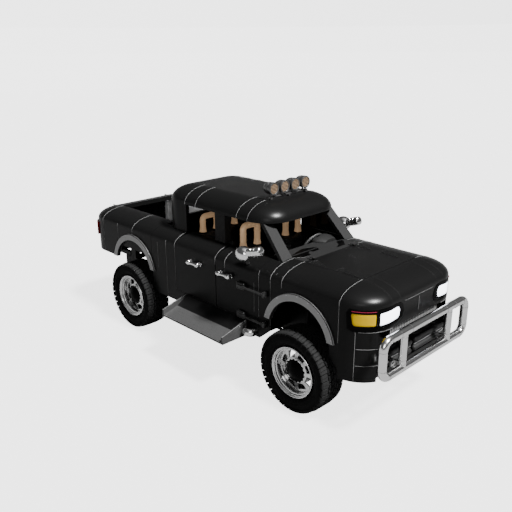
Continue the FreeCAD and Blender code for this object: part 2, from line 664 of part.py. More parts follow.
def pillars():
    """Windscreen pillars, and door posts that reach the floor and hold the rear doors' pins."""
    drop = 60.0
    rise = ROOF_SPRING_Z - TOP_Z + 10
    foot_x = A_PILLAR_FOOT_X + drop * A_PILLAR_LEAN
    head_x = A_PILLAR_FOOT_X - rise * A_PILLAR_LEAN
    low_z = TOP_Z - 10 - drop
    run = PILLAR_THICK * 1.4
    a_post = prism([(foot_x, -CAB_HALF + 12, low_z), (foot_x, -A_PILLAR_INNER_Y, low_z),
                    (head_x, -A_PILLAR_INNER_Y + 35, ROOF_SPRING_Z),
                    (head_x, -A_PILLAR_HEAD_Y, ROOF_SPRING_Z)], (-run, 0, 0)).cut(ON_BODY)
    lower_y = DOOR_TOP_Y - 8
    post_in = lower_y - 32
    upper = box(B_PILLAR_REAR_X, B_PILLAR_FRONT_X, -CAB_HALF, -post_in, TOP_Z, ROOF_SPRING_Z)
    lower = box(B_PILLAR_REAR_X, DOOR_SPLIT_X + 38, -lower_y, -post_in, FLOOR_TOP_Z, TOP_Z + 20)
    blade_y = -REAR_PIN_Y + 35
    blade = [(DOOR_SPLIT_X - 1, blade_y), (DOOR_SPLIT_X + 7, blade_y),
             (DOOR_SPLIT_X + 38, -lower_y + 1), (DOOR_SPLIT_X - 1, -lower_y + 1)]
    blade = prism_z(blade, FLOOR_TOP_Z + 30, SHOULDER_Z - 30)
    gooseneck = [(-6, 0), (6, 0), (8, 26), (26, 36), (26, 55), (19, 55), (-2, 42)]
    parts = [upper, lower, blade]
    for z in REAR_PIN_HEIGHTS:
        half = REAR_KNUCKLE_HEIGHT / 2
        parts.append(cyl((REAR_PIN_X, -REAR_PIN_Y, z - half), (REAR_PIN_X, -REAR_PIN_Y, z + half),
                         REAR_KNUCKLE_R))
        parts.append(cyl((REAR_PIN_X, -REAR_PIN_Y, z - half - 25), (REAR_PIN_X, -REAR_PIN_Y, z + half + 25),
                         REAR_PIN_R))
        arm = [(REAR_PIN_X + dx, -REAR_PIN_Y + dy) for dx, dy in gooseneck]
        parts.append(prism_z(arm, z - half, z + half))
    b_post = join(parts)
    return group([a_post, mirrored(a_post), b_post, mirrored(b_post)])


def cab_back():
    """Rear corner posts and the wall round the rear window."""
    low = TOP_Z - 60
    wall = ROOF_THICK + 5
    outer = round_plan(CAB_BACK_X, CAB_HALF, ROOF_ROUND, low, ROOF_SPRING_Z)
    inner = round_plan(CAB_BACK_X + wall, CAB_HALF - wall, ROOF_ROUND - wall, low - 1,
                       ROOF_SPRING_Z + 1)
    ring = outer.cut(inner).common(box(CAB_BACK_X - 1, C_PILLAR_X, -BODY_HALF, BODY_HALF,
                                       low - 1, ROOF_SPRING_Z))
    half = CAB_HALF - REAR_WINDOW_IN
    window = box(CAB_BACK_X - 50, CAB_BACK_X + 90, -half, half, TOP_Z + 60, ROOF_SPRING_Z - 50)
    return ring.cut(window).cut(ON_BODY)


def round_plan(x_rear, half, radius, z0, z1):
    """Upright block with its two rear corners rounded."""
    flat = half - radius
    parts = [box(x_rear + radius, C_PILLAR_X + 50, -half, half, z0, z1),
             box(x_rear, x_rear + radius + 1, -flat, flat, z0, z1)]
    for y in (-flat, flat):
        parts.append(cyl((x_rear + radius, y, z0), (x_rear + radius, y, z1), radius))
    return join(parts)


def cab_roof():
    below = box(CAB_BACK_X - 10, ROOF_FRONT_X + 10, -CAB_HALF - 10, CAB_HALF + 10,
                ROOF_SPRING_Z - 200, ROOF_SPRING_Z)
    return roof_form(0).cut(roof_form(ROOF_THICK)).cut(below)


def bed():
    """Load bed: outer skin with arches, inner walls, floor and front wall."""
    shell = OUTER.cut(HOLLOW_SKIN)
    x1 = BED_FRONT_X
    skin = shell.common(box(TAIL_X - 1, x1, -BODY_HALF - 1, BODY_HALF + 1, REAR_SILL_Z, TOP_Z + 1))
    mouth = box(TAIL_CX - 5, x1 - BED_WALL, -FLAT_Y, FLAT_Y, BED_FLOOR_Z, TOP_Z + 5)
    side_y = TAILGATE_HALF + PANEL_GAP
    gate_room = box(TAIL_X - 5, TAIL_CX + 5, -side_y, side_y, REAR_SILL_Z - 5, TOP_Z + 5)
    skin = skin.cut(mouth).cut(gate_room)
    skin = skin.cut(arch_cutter(-AXLE_X, -BODY_HALF - 50, BODY_HALF + 50))
    inside = body_form(SKIN / 2, LOW_Z)
    low_z = BED_FLOOR_Z - 35
    inner = box(BED_REAR_X, x1, -FLAT_Y - 25, -FLAT_Y, low_z, TOP_Z).common(inside)
    jamb = box(TAIL_X, BED_REAR_X + 5, -side_y - 25, -side_y, REAR_SILL_Z, TOP_Z).common(inside)
    pin = cyl((GATE_PIN_X, -side_y - 5, GATE_PIN_Z), (GATE_PIN_X, -side_y + 34, GATE_PIN_Z), GATE_PIN_R)
    floor = box(BED_REAR_X, x1, -FLAT_Y - 10, FLAT_Y + 10, low_z, BED_FLOOR_Z)
    front = box(x1 - BED_WALL, x1, -FLAT_Y - 10, FLAT_Y + 10, low_z, TOP_Z)
    well_z = ARCH_Z + ARCH_RADIUS + 30
    well = box(-AXLE_X - 520, x1, -BODY_HALF + SKIN - 5, -FLAT_Y - 20, well_z, well_z + 15)
    close = box(x1 - 30, x1, -BODY_HALF, -FLAT_Y, REAR_SILL_Z, TOP_Z).common(inside)
    close = close.cut(arch_cutter(-AXLE_X, -BODY_HALF - 50, -FLAT_Y - 30))
    halves = [inner, jamb, pin, well, close]
    return join([skin, floor, front] + halves + [mirrored(h) for h in halves])


def tailgate():
    """Drop-down rear panel that carries the tail's rounded top edge."""
    shell = OUTER.cut(body_form(TAILGATE_THICK, LOW_Z - 10))
    gate = shell.common(box(TAIL_X - 5, TAIL_CX, -TAILGATE_HALF, TAILGATE_HALF,
                            TAILGATE_BOTTOM_Z, TOP_Z + 5))
    for s in (-1, 1):
        bore = cyl((GATE_PIN_X, s * (TAILGATE_HALF + 1), GATE_PIN_Z),
                   (GATE_PIN_X, s * (TAILGATE_HALF - 34), GATE_PIN_Z), GATE_PIN_R + PIN_CLEARANCE)
        gate = gate.cut(bore)
    return gate


def tail_lamps():
    """Upright lamps at the tail's corners, standing a little proud."""
    face = body_form(-TAIL_LAMP_PROUD, LOW_Z).cut(ON_BODY)
    region = box(TAIL_X - 60, TAIL_CX - 150, -BODY_HALF, -TAILGATE_HALF - 12, 1160, 1345)
    return pair(face.common(region))


def arch_flares():
    """Bands round the four wheel arches."""
    parts = []
    for x in (AXLE_X, -AXLE_X):
        y0 = -BODY_HALF - FLARE_PROUD
        y1 = -BODY_HALF + SKIN
        ring = cyl((x, y0, ARCH_Z), (x, y1, ARCH_Z), FLARE_RADIUS)
        ring = ring.cut(cyl((x, y0 - 1, ARCH_Z), (x, y1 + 1, ARCH_Z), ARCH_RADIUS - 8))
        ring = ring.cut(box(x - 600, x + 600, y0 - 1, y1 + 1, ARCH_Z - 700, FLARE_END_Z))
        inside = cyl((x, -BODY_HALF - SEAT_GAP, ARCH_Z), (x, y1 + 1, ARCH_Z), FLARE_RADIUS + 5)
        inside = inside.cut(cyl((x, -BODY_HALF - 2, ARCH_Z), (x, y1 + 2, ARCH_Z),
                                ARCH_RADIUS - SEAT_GAP))
        side = box(ARCH_SIDE - SEAT_GAP, 600, -BODY_HALF - SEAT_GAP, y1 + 1, 0, ARCH_Z + 200)
        inside = inside.fuse([side.translated(V(x, 0, 0)),
                              side.mirror(V(0, 0, 0), V(1, 0, 0)).translated(V(x, 0, 0))])
        parts.append(ring.cut(inside))
    return group(parts + [mirrored(p) for p in parts])


def side_steps():
    """Sloping step plates with an end plate at each end."""
    inner = [(-BODY_HALF, STEP_TOP_Z), (-STEP_OUT_Y, STEP_EDGE_Z + STEP_EDGE_HEIGHT),
             (-STEP_OUT_Y, STEP_EDGE_Z), (-BODY_HALF, STEP_EDGE_Z)]
    plate = [(-STEP_BREAK_Y, STEP_BREAK_Z), (-STEP_OUT_Y, STEP_EDGE_Z + STEP_PLATE),
             (-STEP_OUT_Y, STEP_EDGE_Z), (-STEP_BREAK_Y, STEP_BREAK_Z - STEP_PLATE)]
    parts = [prism_x(inner, STEP_REAR_X - STEP_END_PLATE, STEP_REAR_X),
             prism_x(inner, STEP_FRONT_X - STEP_END_PLATE, STEP_FRONT_X),
             prism_x(plate, STEP_REAR_X - 1, STEP_FRONT_X - STEP_END_PLATE + 1)]
    return pair(join(parts))


def rocker_skirts():
    """Slanted skirts between the doors' lower edge and the step plates."""
    x0 = STEP_REAR_X + SEAT_GAP
    x1 = STEP_FRONT_X - STEP_END_PLATE - SEAT_GAP
    outline = [(-BODY_HALF, STEP_TOP_Z), (-STEP_BREAK_Y + SEAT_GAP, STEP_BREAK_Z),
               (-STEP_BREAK_Y + SEAT_GAP, STEP_BREAK_Z - STEP_PLATE),
               (-BODY_HALF, STEP_TOP_Z - STEP_PLATE * 1.4)]
    return pair(prism_x(outline, x0, x1))


def frame_rails():
    """Two box rails with cross tubes, and a receiver at the rear."""
    parts = []
    for s in (-1, 1):
        y = s * RAIL_Y
        rail = box(RAIL_REAR_X, RAIL_FRONT_X, y - RAIL_WIDTH / 2, y + RAIL_WIDTH / 2,
                   RAIL_BOTTOM_Z, RAIL_TOP_Z)
        parts.append(rail)
        for x in (AXLE_X, -AXLE_X):
            parts.append(box(x - 70, x + 70, y + s * RAIL_WIDTH / 2 - s, s * (SPRING_Y + 70),
                             RAIL_TOP_Z - 20, RAIL_TOP_Z))
    mid_z = (RAIL_BOTTOM_Z + RAIL_TOP_Z) / 2
    for x in (RAIL_FRONT_X - 60, RAIL_REAR_X + 50) + CROSS_TUBE_X:
        parts.append(cyl((x, -RAIL_Y, mid_z), (x, RAIL_Y, mid_z), CROSS_TUBE_R))
    half = RECEIVER_HALF
    mouth_x = RAIL_REAR_X - RECEIVER_OUT
    parts.append(box(mouth_x, RAIL_REAR_X + 60, -half, half, mid_z - half, mid_z + half))
    bore = half - RECEIVER_WALL
    frame = join(parts).cut(box(mouth_x - 1, RAIL_REAR_X + 5, -bore, bore, mid_z - bore, mid_z + bore))
    pin_x = mouth_x + RECEIVER_PIN_IN
    return frame.cut(cyl((pin_x, -half - 1, mid_z), (pin_x, half + 1, mid_z), RECEIVER_PIN_R))


def rear_bumper():
    """Narrow beam below the tailgate, on two stays that stand on the rails."""
    x0 = TAIL_X + 12
    beam = box(x0, x0 + 80, -FLAT_Y + 20, FLAT_Y - 20, RAIL_TOP_Z + 25, REAR_SILL_Z - 42)
    parts = [beam]
    for s in (-1, 1):
        parts.append(box(x0 + 79, RAIL_REAR_X + 110, s * (RAIL_Y - 30), s * (RAIL_Y + 30),
                         RAIL_TOP_Z, RAIL_TOP_Z + 60))
    return join(parts)


def mount_blocks():
    """Blocks between the rails and the bed's floor."""
    parts = []
    for x in BED_MOUNT_X:
        parts.append(box(x - 60, x + 60, -RAIL_Y - RAIL_WIDTH / 2, -RAIL_Y + RAIL_WIDTH / 2,
                         RAIL_TOP_Z, BED_FLOOR_Z - 35))
    return group(parts + [mirrored(p) for p in parts])


def axle(x, steered):
    """Solid axle: tube, round gear case and spring pads."""
    z = TYRE_R
    end = KINGPIN_Y - 62 if steered else WHEEL_Y - 60
    parts = [cyl((x, -end, z), (x, end, z), AXLE_TUBE_DIA / 2)]
    case = Part.makeSphere(DIFF_DIA / 2, V(x, SHAFT_Y, z)).common(
        box(x - 200, x + 200, SHAFT_Y - 95, SHAFT_Y + 95, z - 200, z + 200))
    parts.append(case)
    nose_dir = -1 if x > 0 else 1
    parts.append(cyl((x, SHAFT_Y, z), (x + nose_dir * (DIFF_DIA / 2 + PINION_OUT), SHAFT_Y, z), 48))
    for s in (-1, 1):
        parts.append(box(x - 60, x + 60, s * (SPRING_Y - 60), s * (SPRING_Y + 60),
                         PAD_TOP_Z - 18, PAD_TOP_Z))
        if steered:
            parts.append(axle_fork(x, s))
        else:
            parts.append(cyl((x, s * (WHEEL_Y - 62), z), (x, s * (WHEEL_Y - 42), z), FLANGE_R))
            parts.append(cyl((x, s * (WHEEL_Y - 62), z), (x, s * (WHEEL_Y + 20), z), STUB_R))
    return join(parts)


def axle_fork(x, s):
    """Yoke at the axle's end that holds the kingpin."""
    z = TYRE_R
    y = s * KINGPIN_Y
    plate_in = s * (KINGPIN_Y - 66)
    top = box(x - 32, x + 32, plate_in, y + s * 26, z + FORK_GAP, z + FORK_GAP + FORK_THICK)
    low = box(x - 32, x + 32, plate_in, y + s * 26, z - FORK_GAP - FORK_THICK, z - FORK_GAP)
    back = box(x - 32, x + 32, plate_in, plate_in + s * 24, z - FORK_GAP - FORK_THICK,
               z + FORK_GAP + FORK_THICK)
    pin = cyl((x, y, z - FORK_GAP - FORK_THICK), (x, y, z + FORK_GAP + FORK_THICK), KINGPIN_R)
    mid = box(x - 60, x + 60, y - 60, y + 60, z - FORK_GAP + 22, z + FORK_GAP - 22)
    return join([top, low, back, pin]).cut(mid)


def knuckle(s):
    """Steering knuckle: kingpin eyes, stub shaft and a steering arm."""
    z = TYRE_R
    x = AXLE_X
    y = s * KINGPIN_Y
    eye_in = FORK_GAP - PIN_CLEARANCE
    parts = []
    for side in (-1, 1):
        parts.append(cyl((x, y, z + side * 40), (x, y, z + side * eye_in), 34))
    body = cyl((x, y - s * 8, z), (x, s * (WHEEL_Y - 44), z), 62)
    flange = cyl((x, s * (WHEEL_Y - 62), z), (x, s * (WHEEL_Y - 42), z), FLANGE_R)
    stub = cyl((x, s * (WHEEL_Y - 62), z), (x, s * (WHEEL_Y + 20), z), STUB_R)
    arm = box(x - ARM_LENGTH - 22, x - 20, y - 16, y + 16, ARM_Z - 14, ARM_Z + 14)
    neck = box(x - 46, x - 14, y - 16, y + 16, ARM_Z - 14, z - 20)
    solid = join(parts + [body, flange, stub, arm, neck])
    for side in (-1, 1):
        solid = solid.cut(cyl((x, y, z + side * (FORK_GAP - 23)), (x, y, z + side * (FORK_GAP + 5)),
                              KINGPIN_R + PIN_CLEARANCE))
    eye = cyl((x - ARM_LENGTH, y, ARM_Z - 14), (x - ARM_LENGTH, y, ARM_Z + 14), 26)
    bore_r = TIE_PIN_R + (PIN_CLEARANCE if s > 0 else 4 * PIN_CLEARANCE)
    bore = cyl((x - ARM_LENGTH, y, ARM_Z - 20), (x - ARM_LENGTH, y, ARM_Z + 20), bore_r)
    return solid.fuse(eye).removeSplitter().cut(bore)


def tie_rod():
    """Rod across the truck with a pin up through each steering arm."""
    x = AXLE_X - ARM_LENGTH
    y = KINGPIN_Y
    z = ARM_Z - 14 - 20
    parts = [cyl((x, -y, z), (x, y, z), 16)]
    for s in (-1, 1):
        parts.append(cyl((x, s * y, z - 20), (x, s * y, z + 19), 22))
        parts.append(cyl((x, s * y, z), (x, s * y, ARM_Z + 22), TIE_PIN_R))
    return join(parts)


def suspension():
    """Coil springs and trailing links of both axles."""
    parts = []
    for x, inboard in ((AXLE_X, -1), (-AXLE_X, 1)):
        parts.append(cyl((x, -SPRING_Y, PAD_TOP_Z), (x, -SPRING_Y, RAIL_TOP_Z - 20), SPRING_R))
        end_x = x + inboard * LINK_REACH
        end_z = RAIL_BOTTOM_Z - LINK_R - 4
        link = cyl((x, -LINK_Y, TYRE_R), (end_x, -LINK_Y, end_z), LINK_R)
        tab = box(end_x - 25, end_x + 25, -LINK_Y - LINK_R, -LINK_Y + LINK_R, end_z - 20, RAIL_BOTTOM_Z)
        tube = cyl((x, -LINK_Y - 60, TYRE_R), (x, -LINK_Y + 60, TYRE_R), AXLE_TUBE_DIA / 2 + SEAT_GAP)
        parts.append(join([link, tab]).cut(tube))
    return group(parts + [mirrored(p) for p in parts])


def engine():
    """Engine as one plain block, on two bearers that reach the rails."""
    block = box(ENGINE_REAR_X, ENGINE_FRONT_X, -ENGINE_HALF, ENGINE_HALF, ENGINE_Z[0], ENGINE_Z[1])
    rail_in = RAIL_Y - RAIL_WIDTH / 2
    mid_x = (ENGINE_REAR_X + ENGINE_FRONT_X) / 2
    bearer = box(mid_x - 50, mid_x + 50, -rail_in, rail_in, ENGINE_Z[0], ENGINE_Z[0] + 40)
    return join([block, bearer])


def driveline():
    """Gearbox and transfer case, then a shaft to each axle."""
    case_front = 340.0
    floor_z = FLOOR_TOP_Z - FLOOR_THICK - 2
    gearbox = box(case_front - 10, ENGINE_REAR_X, -150, 150, RAIL_BOTTOM_Z - 40, floor_z)
    case = box(60, case_front, SHAFT_Y - 95, 170, RAIL_BOTTOM_Z - 110, RAIL_TOP_Z - 20)
    reach = AXLE_X - DIFF_DIA / 2 - PINION_OUT - SEAT_GAP
    low_z = RAIL_BOTTOM_Z - 60
    front = cyl((case_front - 20, SHAFT_Y - 60, low_z), (reach + 60, SHAFT_Y, TYRE_R), 32)
    rear = cyl((80, SHAFT_Y, low_z + 20), (-reach - 60, SHAFT_Y, TYRE_R), 34)
    shafts = front.fuse(rear).common(box(-reach, reach, -RAIL_Y, RAIL_Y, 0, RAIL_TOP_Z))
    rail_in = RAIL_Y - RAIL_WIDTH / 2
    bearer = box(case_front + 40, case_front + 100, -rail_in, rail_in,
                 RAIL_BOTTOM_Z + 20, RAIL_BOTTOM_Z + 60)
    return join([gearbox, case, bearer] + shafts.Solids)


def fuel_tank():
    return box(-925, -250, 150, RAIL_Y - RAIL_WIDTH / 2 - SEAT_GAP, RAIL_BOTTOM_Z - 60, RAIL_TOP_Z - 30)


def exhaust():
    """Bent tail pipe that leaves through the rocker and turns back ahead of the step."""
    def bent(radius, extra):
        start_y = -BODY_HALF + 230 + extra
        out_y = -BODY_HALF - EXHAUST_OUT
        return pipe([(EXHAUST_X, start_y, EXHAUST_Z), (EXHAUST_X, out_y, EXHAUST_Z),
                     (EXHAUST_X - 85 - extra, out_y, EXHAUST_Z)], EXHAUST_R + 8, radius)
    return bent(EXHAUST_R, 0).cut(bent(EXHAUST_R - 7, 5))


def dashboard():
    top = TOP_Z - 14
    x = FIREWALL_X - 30
    outline = [(x, top), (x - 200, top - 8), (x - 240, top - 60), (x - 220, top - 190),
               (x - 90, top - 260), (x, top - 260)]
    board = prism_y(outline, -DOOR_TOP_Y + 12, DOOR_TOP_Y - 12)
    return board.common(body_form(SKIN + SEAT_GAP, LOW_Z))


def steering_wheel():
    """Rim, three spokes and boss, leaning back."""
    parts = [Part.makeTorus(STEER_WHEEL_R, 15), Part.makeCylinder(48, 34, V(0, 0, -17))]
    for deg in (0, 180, 270):
        a = math.radians(deg)
        rim_at = (STEER_WHEEL_R * math.cos(a), STEER_WHEEL_R * math.sin(a), 0)
        parts.append(cyl((0, 0, 0), rim_at, 11))
    wheel = join(parts)
    wheel.rotate(V(0, 0, 0), V(0, 0, 1), 90)
    wheel.rotate(V(0, 0, 0), V(0, 1, 0), -STEER_COLUMN_DEG)
    wheel.translate(V(*STEER_WHEEL_AT))
    return wheel


def steering_column():
    a = math.radians(STEER_COLUMN_DEG)
    axis = V(math.sin(a), 0, -math.cos(a))
    at = V(*STEER_WHEEL_AT)
    start = at + axis * 17.5
    return Part.makeCylinder(26, 200, start, axis).cut(dashboard())


def seat_block(hoop_x, y, width, length):
    """Plain seat: base, cushion and leaning back in one solid."""
    rear = hoop_x - 40
    base = box(rear + 20, rear + length - 60, y - width / 2 + 40, y + width / 2 - 40,
               FLOOR_TOP_Z, SEAT_BASE_Z)
    cushion = box(rear, rear + length, y - width / 2, y + width / 2, SEAT_BASE_Z, SEAT_TOP_Z)
    outline = [(rear + 20, SEAT_TOP_Z), (rear + 150, SEAT_TOP_Z), (hoop_x + 50, SEAT_BACK_Z),
               (hoop_x - 50, SEAT_BACK_Z)]
    return join([base, cushion, prism_y(outline, y - width / 2, y + width / 2)])


def seats_front():
    return pair(seat_block(HOOP_X, -SEAT_Y, SEAT_WIDTH, SEAT_LENGTH))


def seat_rear():
    return seat_block(REAR_HOOP_X, 0, 2 * REAR_SEAT_HALF, SEAT_LENGTH - 10)


def seat_hoops():
    """Tan tube hoops on top of the seat backs, with flared feet."""
    parts = []
    for x, y, top_z in ((HOOP_X, -SEAT_Y, HOOP_TOP_Z), (REAR_HOOP_X, -REAR_HOOP_Y, REAR_HOOP_TOP_Z)):
        sides = (y - HOOP_HALF, y + HOOP_HALF)
        bar_z = top_z - HOOP_R
        hoop = pipe([(x, sides[0], SEAT_BACK_Z), (x, sides[0], bar_z), (x, sides[1], bar_z),
                     (x, sides[1], SEAT_BACK_Z)], HOOP_R + 12, HOOP_R)
        feet = [Part.makeCone(HOOP_R + 10, HOOP_R, 60, V(x, side, SEAT_BACK_Z)) for side in sides]
        parts.append(join([hoop] + feet))
    return group(parts + [mirrored(p) for p in parts])


def door_straps():
    """Long strap hinges on the front doors' outside, with an eye round each pin."""
    parts = []
    for z in HINGE_HEIGHTS:
        eye = cyl((HINGE_X, -HINGE_Y, z - 18), (HINGE_X, -HINGE_Y, z + 18), 20)
        arm = box(HINGE_X - STRAP_LENGTH, HINGE_X, -HINGE_Y - 8, -HINGE_Y + 6, z - STRAP_HALF, z + STRAP_HALF)
        pad_x = HINGE_X - STRAP_LENGTH + 5
        pad = box(pad_x - STRAP_PAD, pad_x, -HINGE_Y - 8, -BODY_HALF, z - 44, z + 44)
        strap = join([eye, arm, pad])
        parts.append(strap.cut(cyl((HINGE_X, -HINGE_Y, z - 30), (HINGE_X, -HINGE_Y, z + 30),
                                   HINGE_PIN_R + PIN_CLEARANCE)))
    return parts


def hinge_brackets():
    """Pins on the wings that the front doors' strap hinges turn on."""
    parts = []
    for z in HINGE_HEIGHTS:
        pin = cyl((HINGE_X, -HINGE_Y, z - 32), (HINGE_X, -HINGE_Y, z + 32), HINGE_PIN_R)
        ears = [box(HINGE_X - 14, HINGE_X + 14, -HINGE_Y - 12, -BODY_HALF, z + a, z + b)
                for a, b in ((19, 32), (-32, -19))]
        plate = box(HINGE_X - 14, HINGE_X + 14, -BODY_HALF - 8, -BODY_HALF, z - 32, z + 32)
        parts.append(join([pin, plate] + ears))
    return group(parts + [mirrored(p) for p in parts])


def handle(x, z):
    """Grab handle with thick ends, on two feet."""
    y = -BODY_HALF - HANDLE_OUT
    half = HANDLE_LENGTH / 2
    parts = [cyl((x - half, y, z), (x + half, y, z), 15)]
    for s in (-1, 1):
        parts.append(cyl((x + s * half, y, z), (x + s * (half - 60), y, z), 27))
        parts.append(box(x + s * (half - 20), x + s * (half - 45), y, -BODY_HALF, z - 12, z + 12))
    return join(parts)


def mirror():
    """Oval mirror head with a tube ahead of it, on a short stem from the door's shoulder."""
    x, y, z = MIRROR_X, BODY_HALF + MIRROR_OUT, MIRROR_Z
    oval = Part.Ellipse(V(MIRROR_HALF_LENGTH, 0, 0), V(0, MIRROR_R, 0), V(0, 0, 0))
    half = Part.ArcOfEllipse(oval, 0, math.pi).toShape()
    chord = Part.LineSegment(V(-MIRROR_HALF_LENGTH, 0, 0), V(MIRROR_HALF_LENGTH, 0, 0)).toShape()
    head = Part.Face(Part.Wire([half, chord])).revolve(V(0, 0, 0), V(1, 0, 0), 360)
    head = head.translated(V(x, -y, z))
    tube = cyl((x + 40, -y, z + 8), (x + 290, -y + 20, z + 95), 55)
    stem = cyl((x - 10, -y + 75, z - 160), (x - 10, -y + 30, z - 40), 20).cut(ON_BODY)
    return head.fuse([tube, stem])


def front_fittings():
    return group(door_straps() + [handle(HANDLE_X[0], HANDLE_Z), mirror()])


def rear_fittings():
    return handle(HANDLE_X[1], HANDLE_Z)


def roof_lamps():
    """Four round lamps on a rail across the roof's front."""
    parts = []
    x = ROOF_LAMP_X
    z = ROOF_TOP_Z + ROOF_LAMP_UP
    rail_z = ROOF_TOP_Z + 26
    inner, outer = ROOF_LAMP_Y
    rail = box(x - 20, x + 20, -outer - 58, outer + 58, rail_z - 9, rail_z + 9)
    on_roof = roof_form(-SEAT_GAP)
    feet = [box(x - 20, x + 20, y - 14, y + 14, ROOF_TOP_Z - 20, rail_z).cut(on_roof)
            for y in (-outer - 28, 0, outer + 28)]
    lamps = []
    for y in (-outer, -inner, inner, outer):
        lamps.append(cyl((x - 110, y, z), (x + 35, y, z), ROOF_LAMP_R))
        lamps.append(box(x - 14, x + 14, y - 10, y + 10, rail_z, z - ROOF_LAMP_R + 16))
    return join([rail] + feet + lamps)


def tyre(x, y):
    """Hollow tyre with rounded shoulders and tread blocks."""
    half = TYRE_WIDTH / 2
    base_r = TYRE_R - TREAD_DEPTH
    inner_r = RIM_R + SEAT_GAP
    bead = 128.0
    profile = [(inner_r, -bead), (inner_r, bead), (inner_r + 40, half - 4), (base_r - 40, half - 2),
               (base_r, half - 26), (base_r, -half + 26), (base_r - 40, -half + 2),
               (inner_r + 40, -half + 4)]
    hollow = [(inner_r - 1, -bead + 22), (inner_r - 1, bead - 22), (inner_r + 44, half - 26),
              (base_r - 42, half - 26), (base_r - 24, half - 42), (base_r - 24, -half + 42),
              (base_r - 42, -half + 26), (inner_r + 44, -half + 26)]
    body = ring_solid(profile).cut(ring_solid(hollow))
    blocks = []
    for i in range(BLOCK_COUNT):
        for s in (-1, 1):
            blocks.append(tread_block(base_r, half, s, i))
    body = body.fuse(blocks)
    return body.translated(V(x, y, TYRE_R))


def tread_block(base_r, half, s, index):
    """Lug from near the tread's middle out over the shoulder."""
    pitch = 2 * math.pi / BLOCK_COUNT
    width = 2 * math.pi * TYRE_R / BLOCK_COUNT * 0.68
    angle = pitch * (index + (0.25 if s > 0 else -0.25))
    top_r = math.sqrt(TYRE_R ** 2 - (width / 2) ** 2)
    outline = [(s * 12, top_r), (s * (half - 24), top_r), (s * half, TYRE_R - 30),
               (s * half, base_r - 48), (s * (half - 30), base_r - 20), (s * 12, base_r - 8)]
    lug = prism_x(outline, -width / 2, width / 2)
    lug.rotate(V(0, 0, 0), V(0, 1, 0), math.degrees(angle))
    return lug


def ring_solid(profile):
    """Turn an outline of (radius, y) points about the wheel's axis."""
    wire = Part.makePolygon([V(r, y, 0) for r, y in profile] + [V(profile[0][0], profile[0][1], 0)])
    return Part.Face(wire).revolve(V(0, 0, 0), V(0, 1, 0), 360)


def rim(x, y, s):
    """Wheel: barrel with lips, pierced disc and domed hub; s is the outer side."""
    lip = TYRE_WIDTH / 2 - 20
    barrel = [(RIM_R, -lip), (RIM_R, lip), (RIM_R - RIM_WALL - 18, lip), (RIM_R - RIM_WALL - 18, lip - 22),
              (RIM_R - RIM_WALL, lip - 40), (RIM_R - RIM_WALL, -lip)]
    wheel = ring_solid(barrel)
    face = lip - 62
    disc = [(STUB_R + PIN_CLEARANCE, face - 26), (STUB_R + PIN_CLEARANCE, face + 4),
            (120, face + 4), (190, face - 14), (RIM_R - RIM_WALL + 1, face + 2),
            (RIM_R - RIM_WALL + 1, face - 26), (190, face - 42), (120, face - 26)]
    disc = ring_solid(disc)
    for i in range(SPOKE_WINDOWS):
        hole = prism_y([(150, -26), (232, -40), (232, 40), (150, 26)], -200, 200)
        hole.rotate(V(0, 0, 0), V(0, 1, 0), 360 / SPOKE_WINDOWS * i)
        disc = disc.cut(hole)
    hub = ring_solid([(0, WHEEL_STUB_END), (0, face + 46), (60, face + 42), (HUB_FACE_DIA / 2, face + 16),
                      (HUB_FACE_DIA / 2, face - 24), (STUB_R + PIN_CLEARANCE, face - 24),
                      (STUB_R + PIN_CLEARANCE, WHEEL_STUB_END)])
    back = ring_solid([(STUB_R + PIN_CLEARANCE, -41.5), (STUB_R + PIN_CLEARANCE, face - 20), (78, face - 20),
                       (78, -41.5)])
    wheel = join([wheel, disc, hub, back])
    if s < 0:
        wheel = wheel.mirror(V(0, 0, 0), V(0, 1, 0))
    return wheel.translated(V(x, y, TYRE_R))


def export(name, shape):
    shape = shape.copy()
    shape.translate(V(SHIFT_X, 0, 0))
    bad = not shape.isValid()
    count = len(shape.Solids)
    size = shape.BoundBox
    print("%-22s solids %2d  x %6.0f %6.0f  y %6.0f %6.0f  z %6.0f %6.0f%s" % (
        name, count, size.XMin, size.XMax, size.YMin, size.YMax, size.ZMin, size.ZMax,
        "  NOT VALID" if bad else ""))
    shape.exportStep("parts/%s.step" % name)


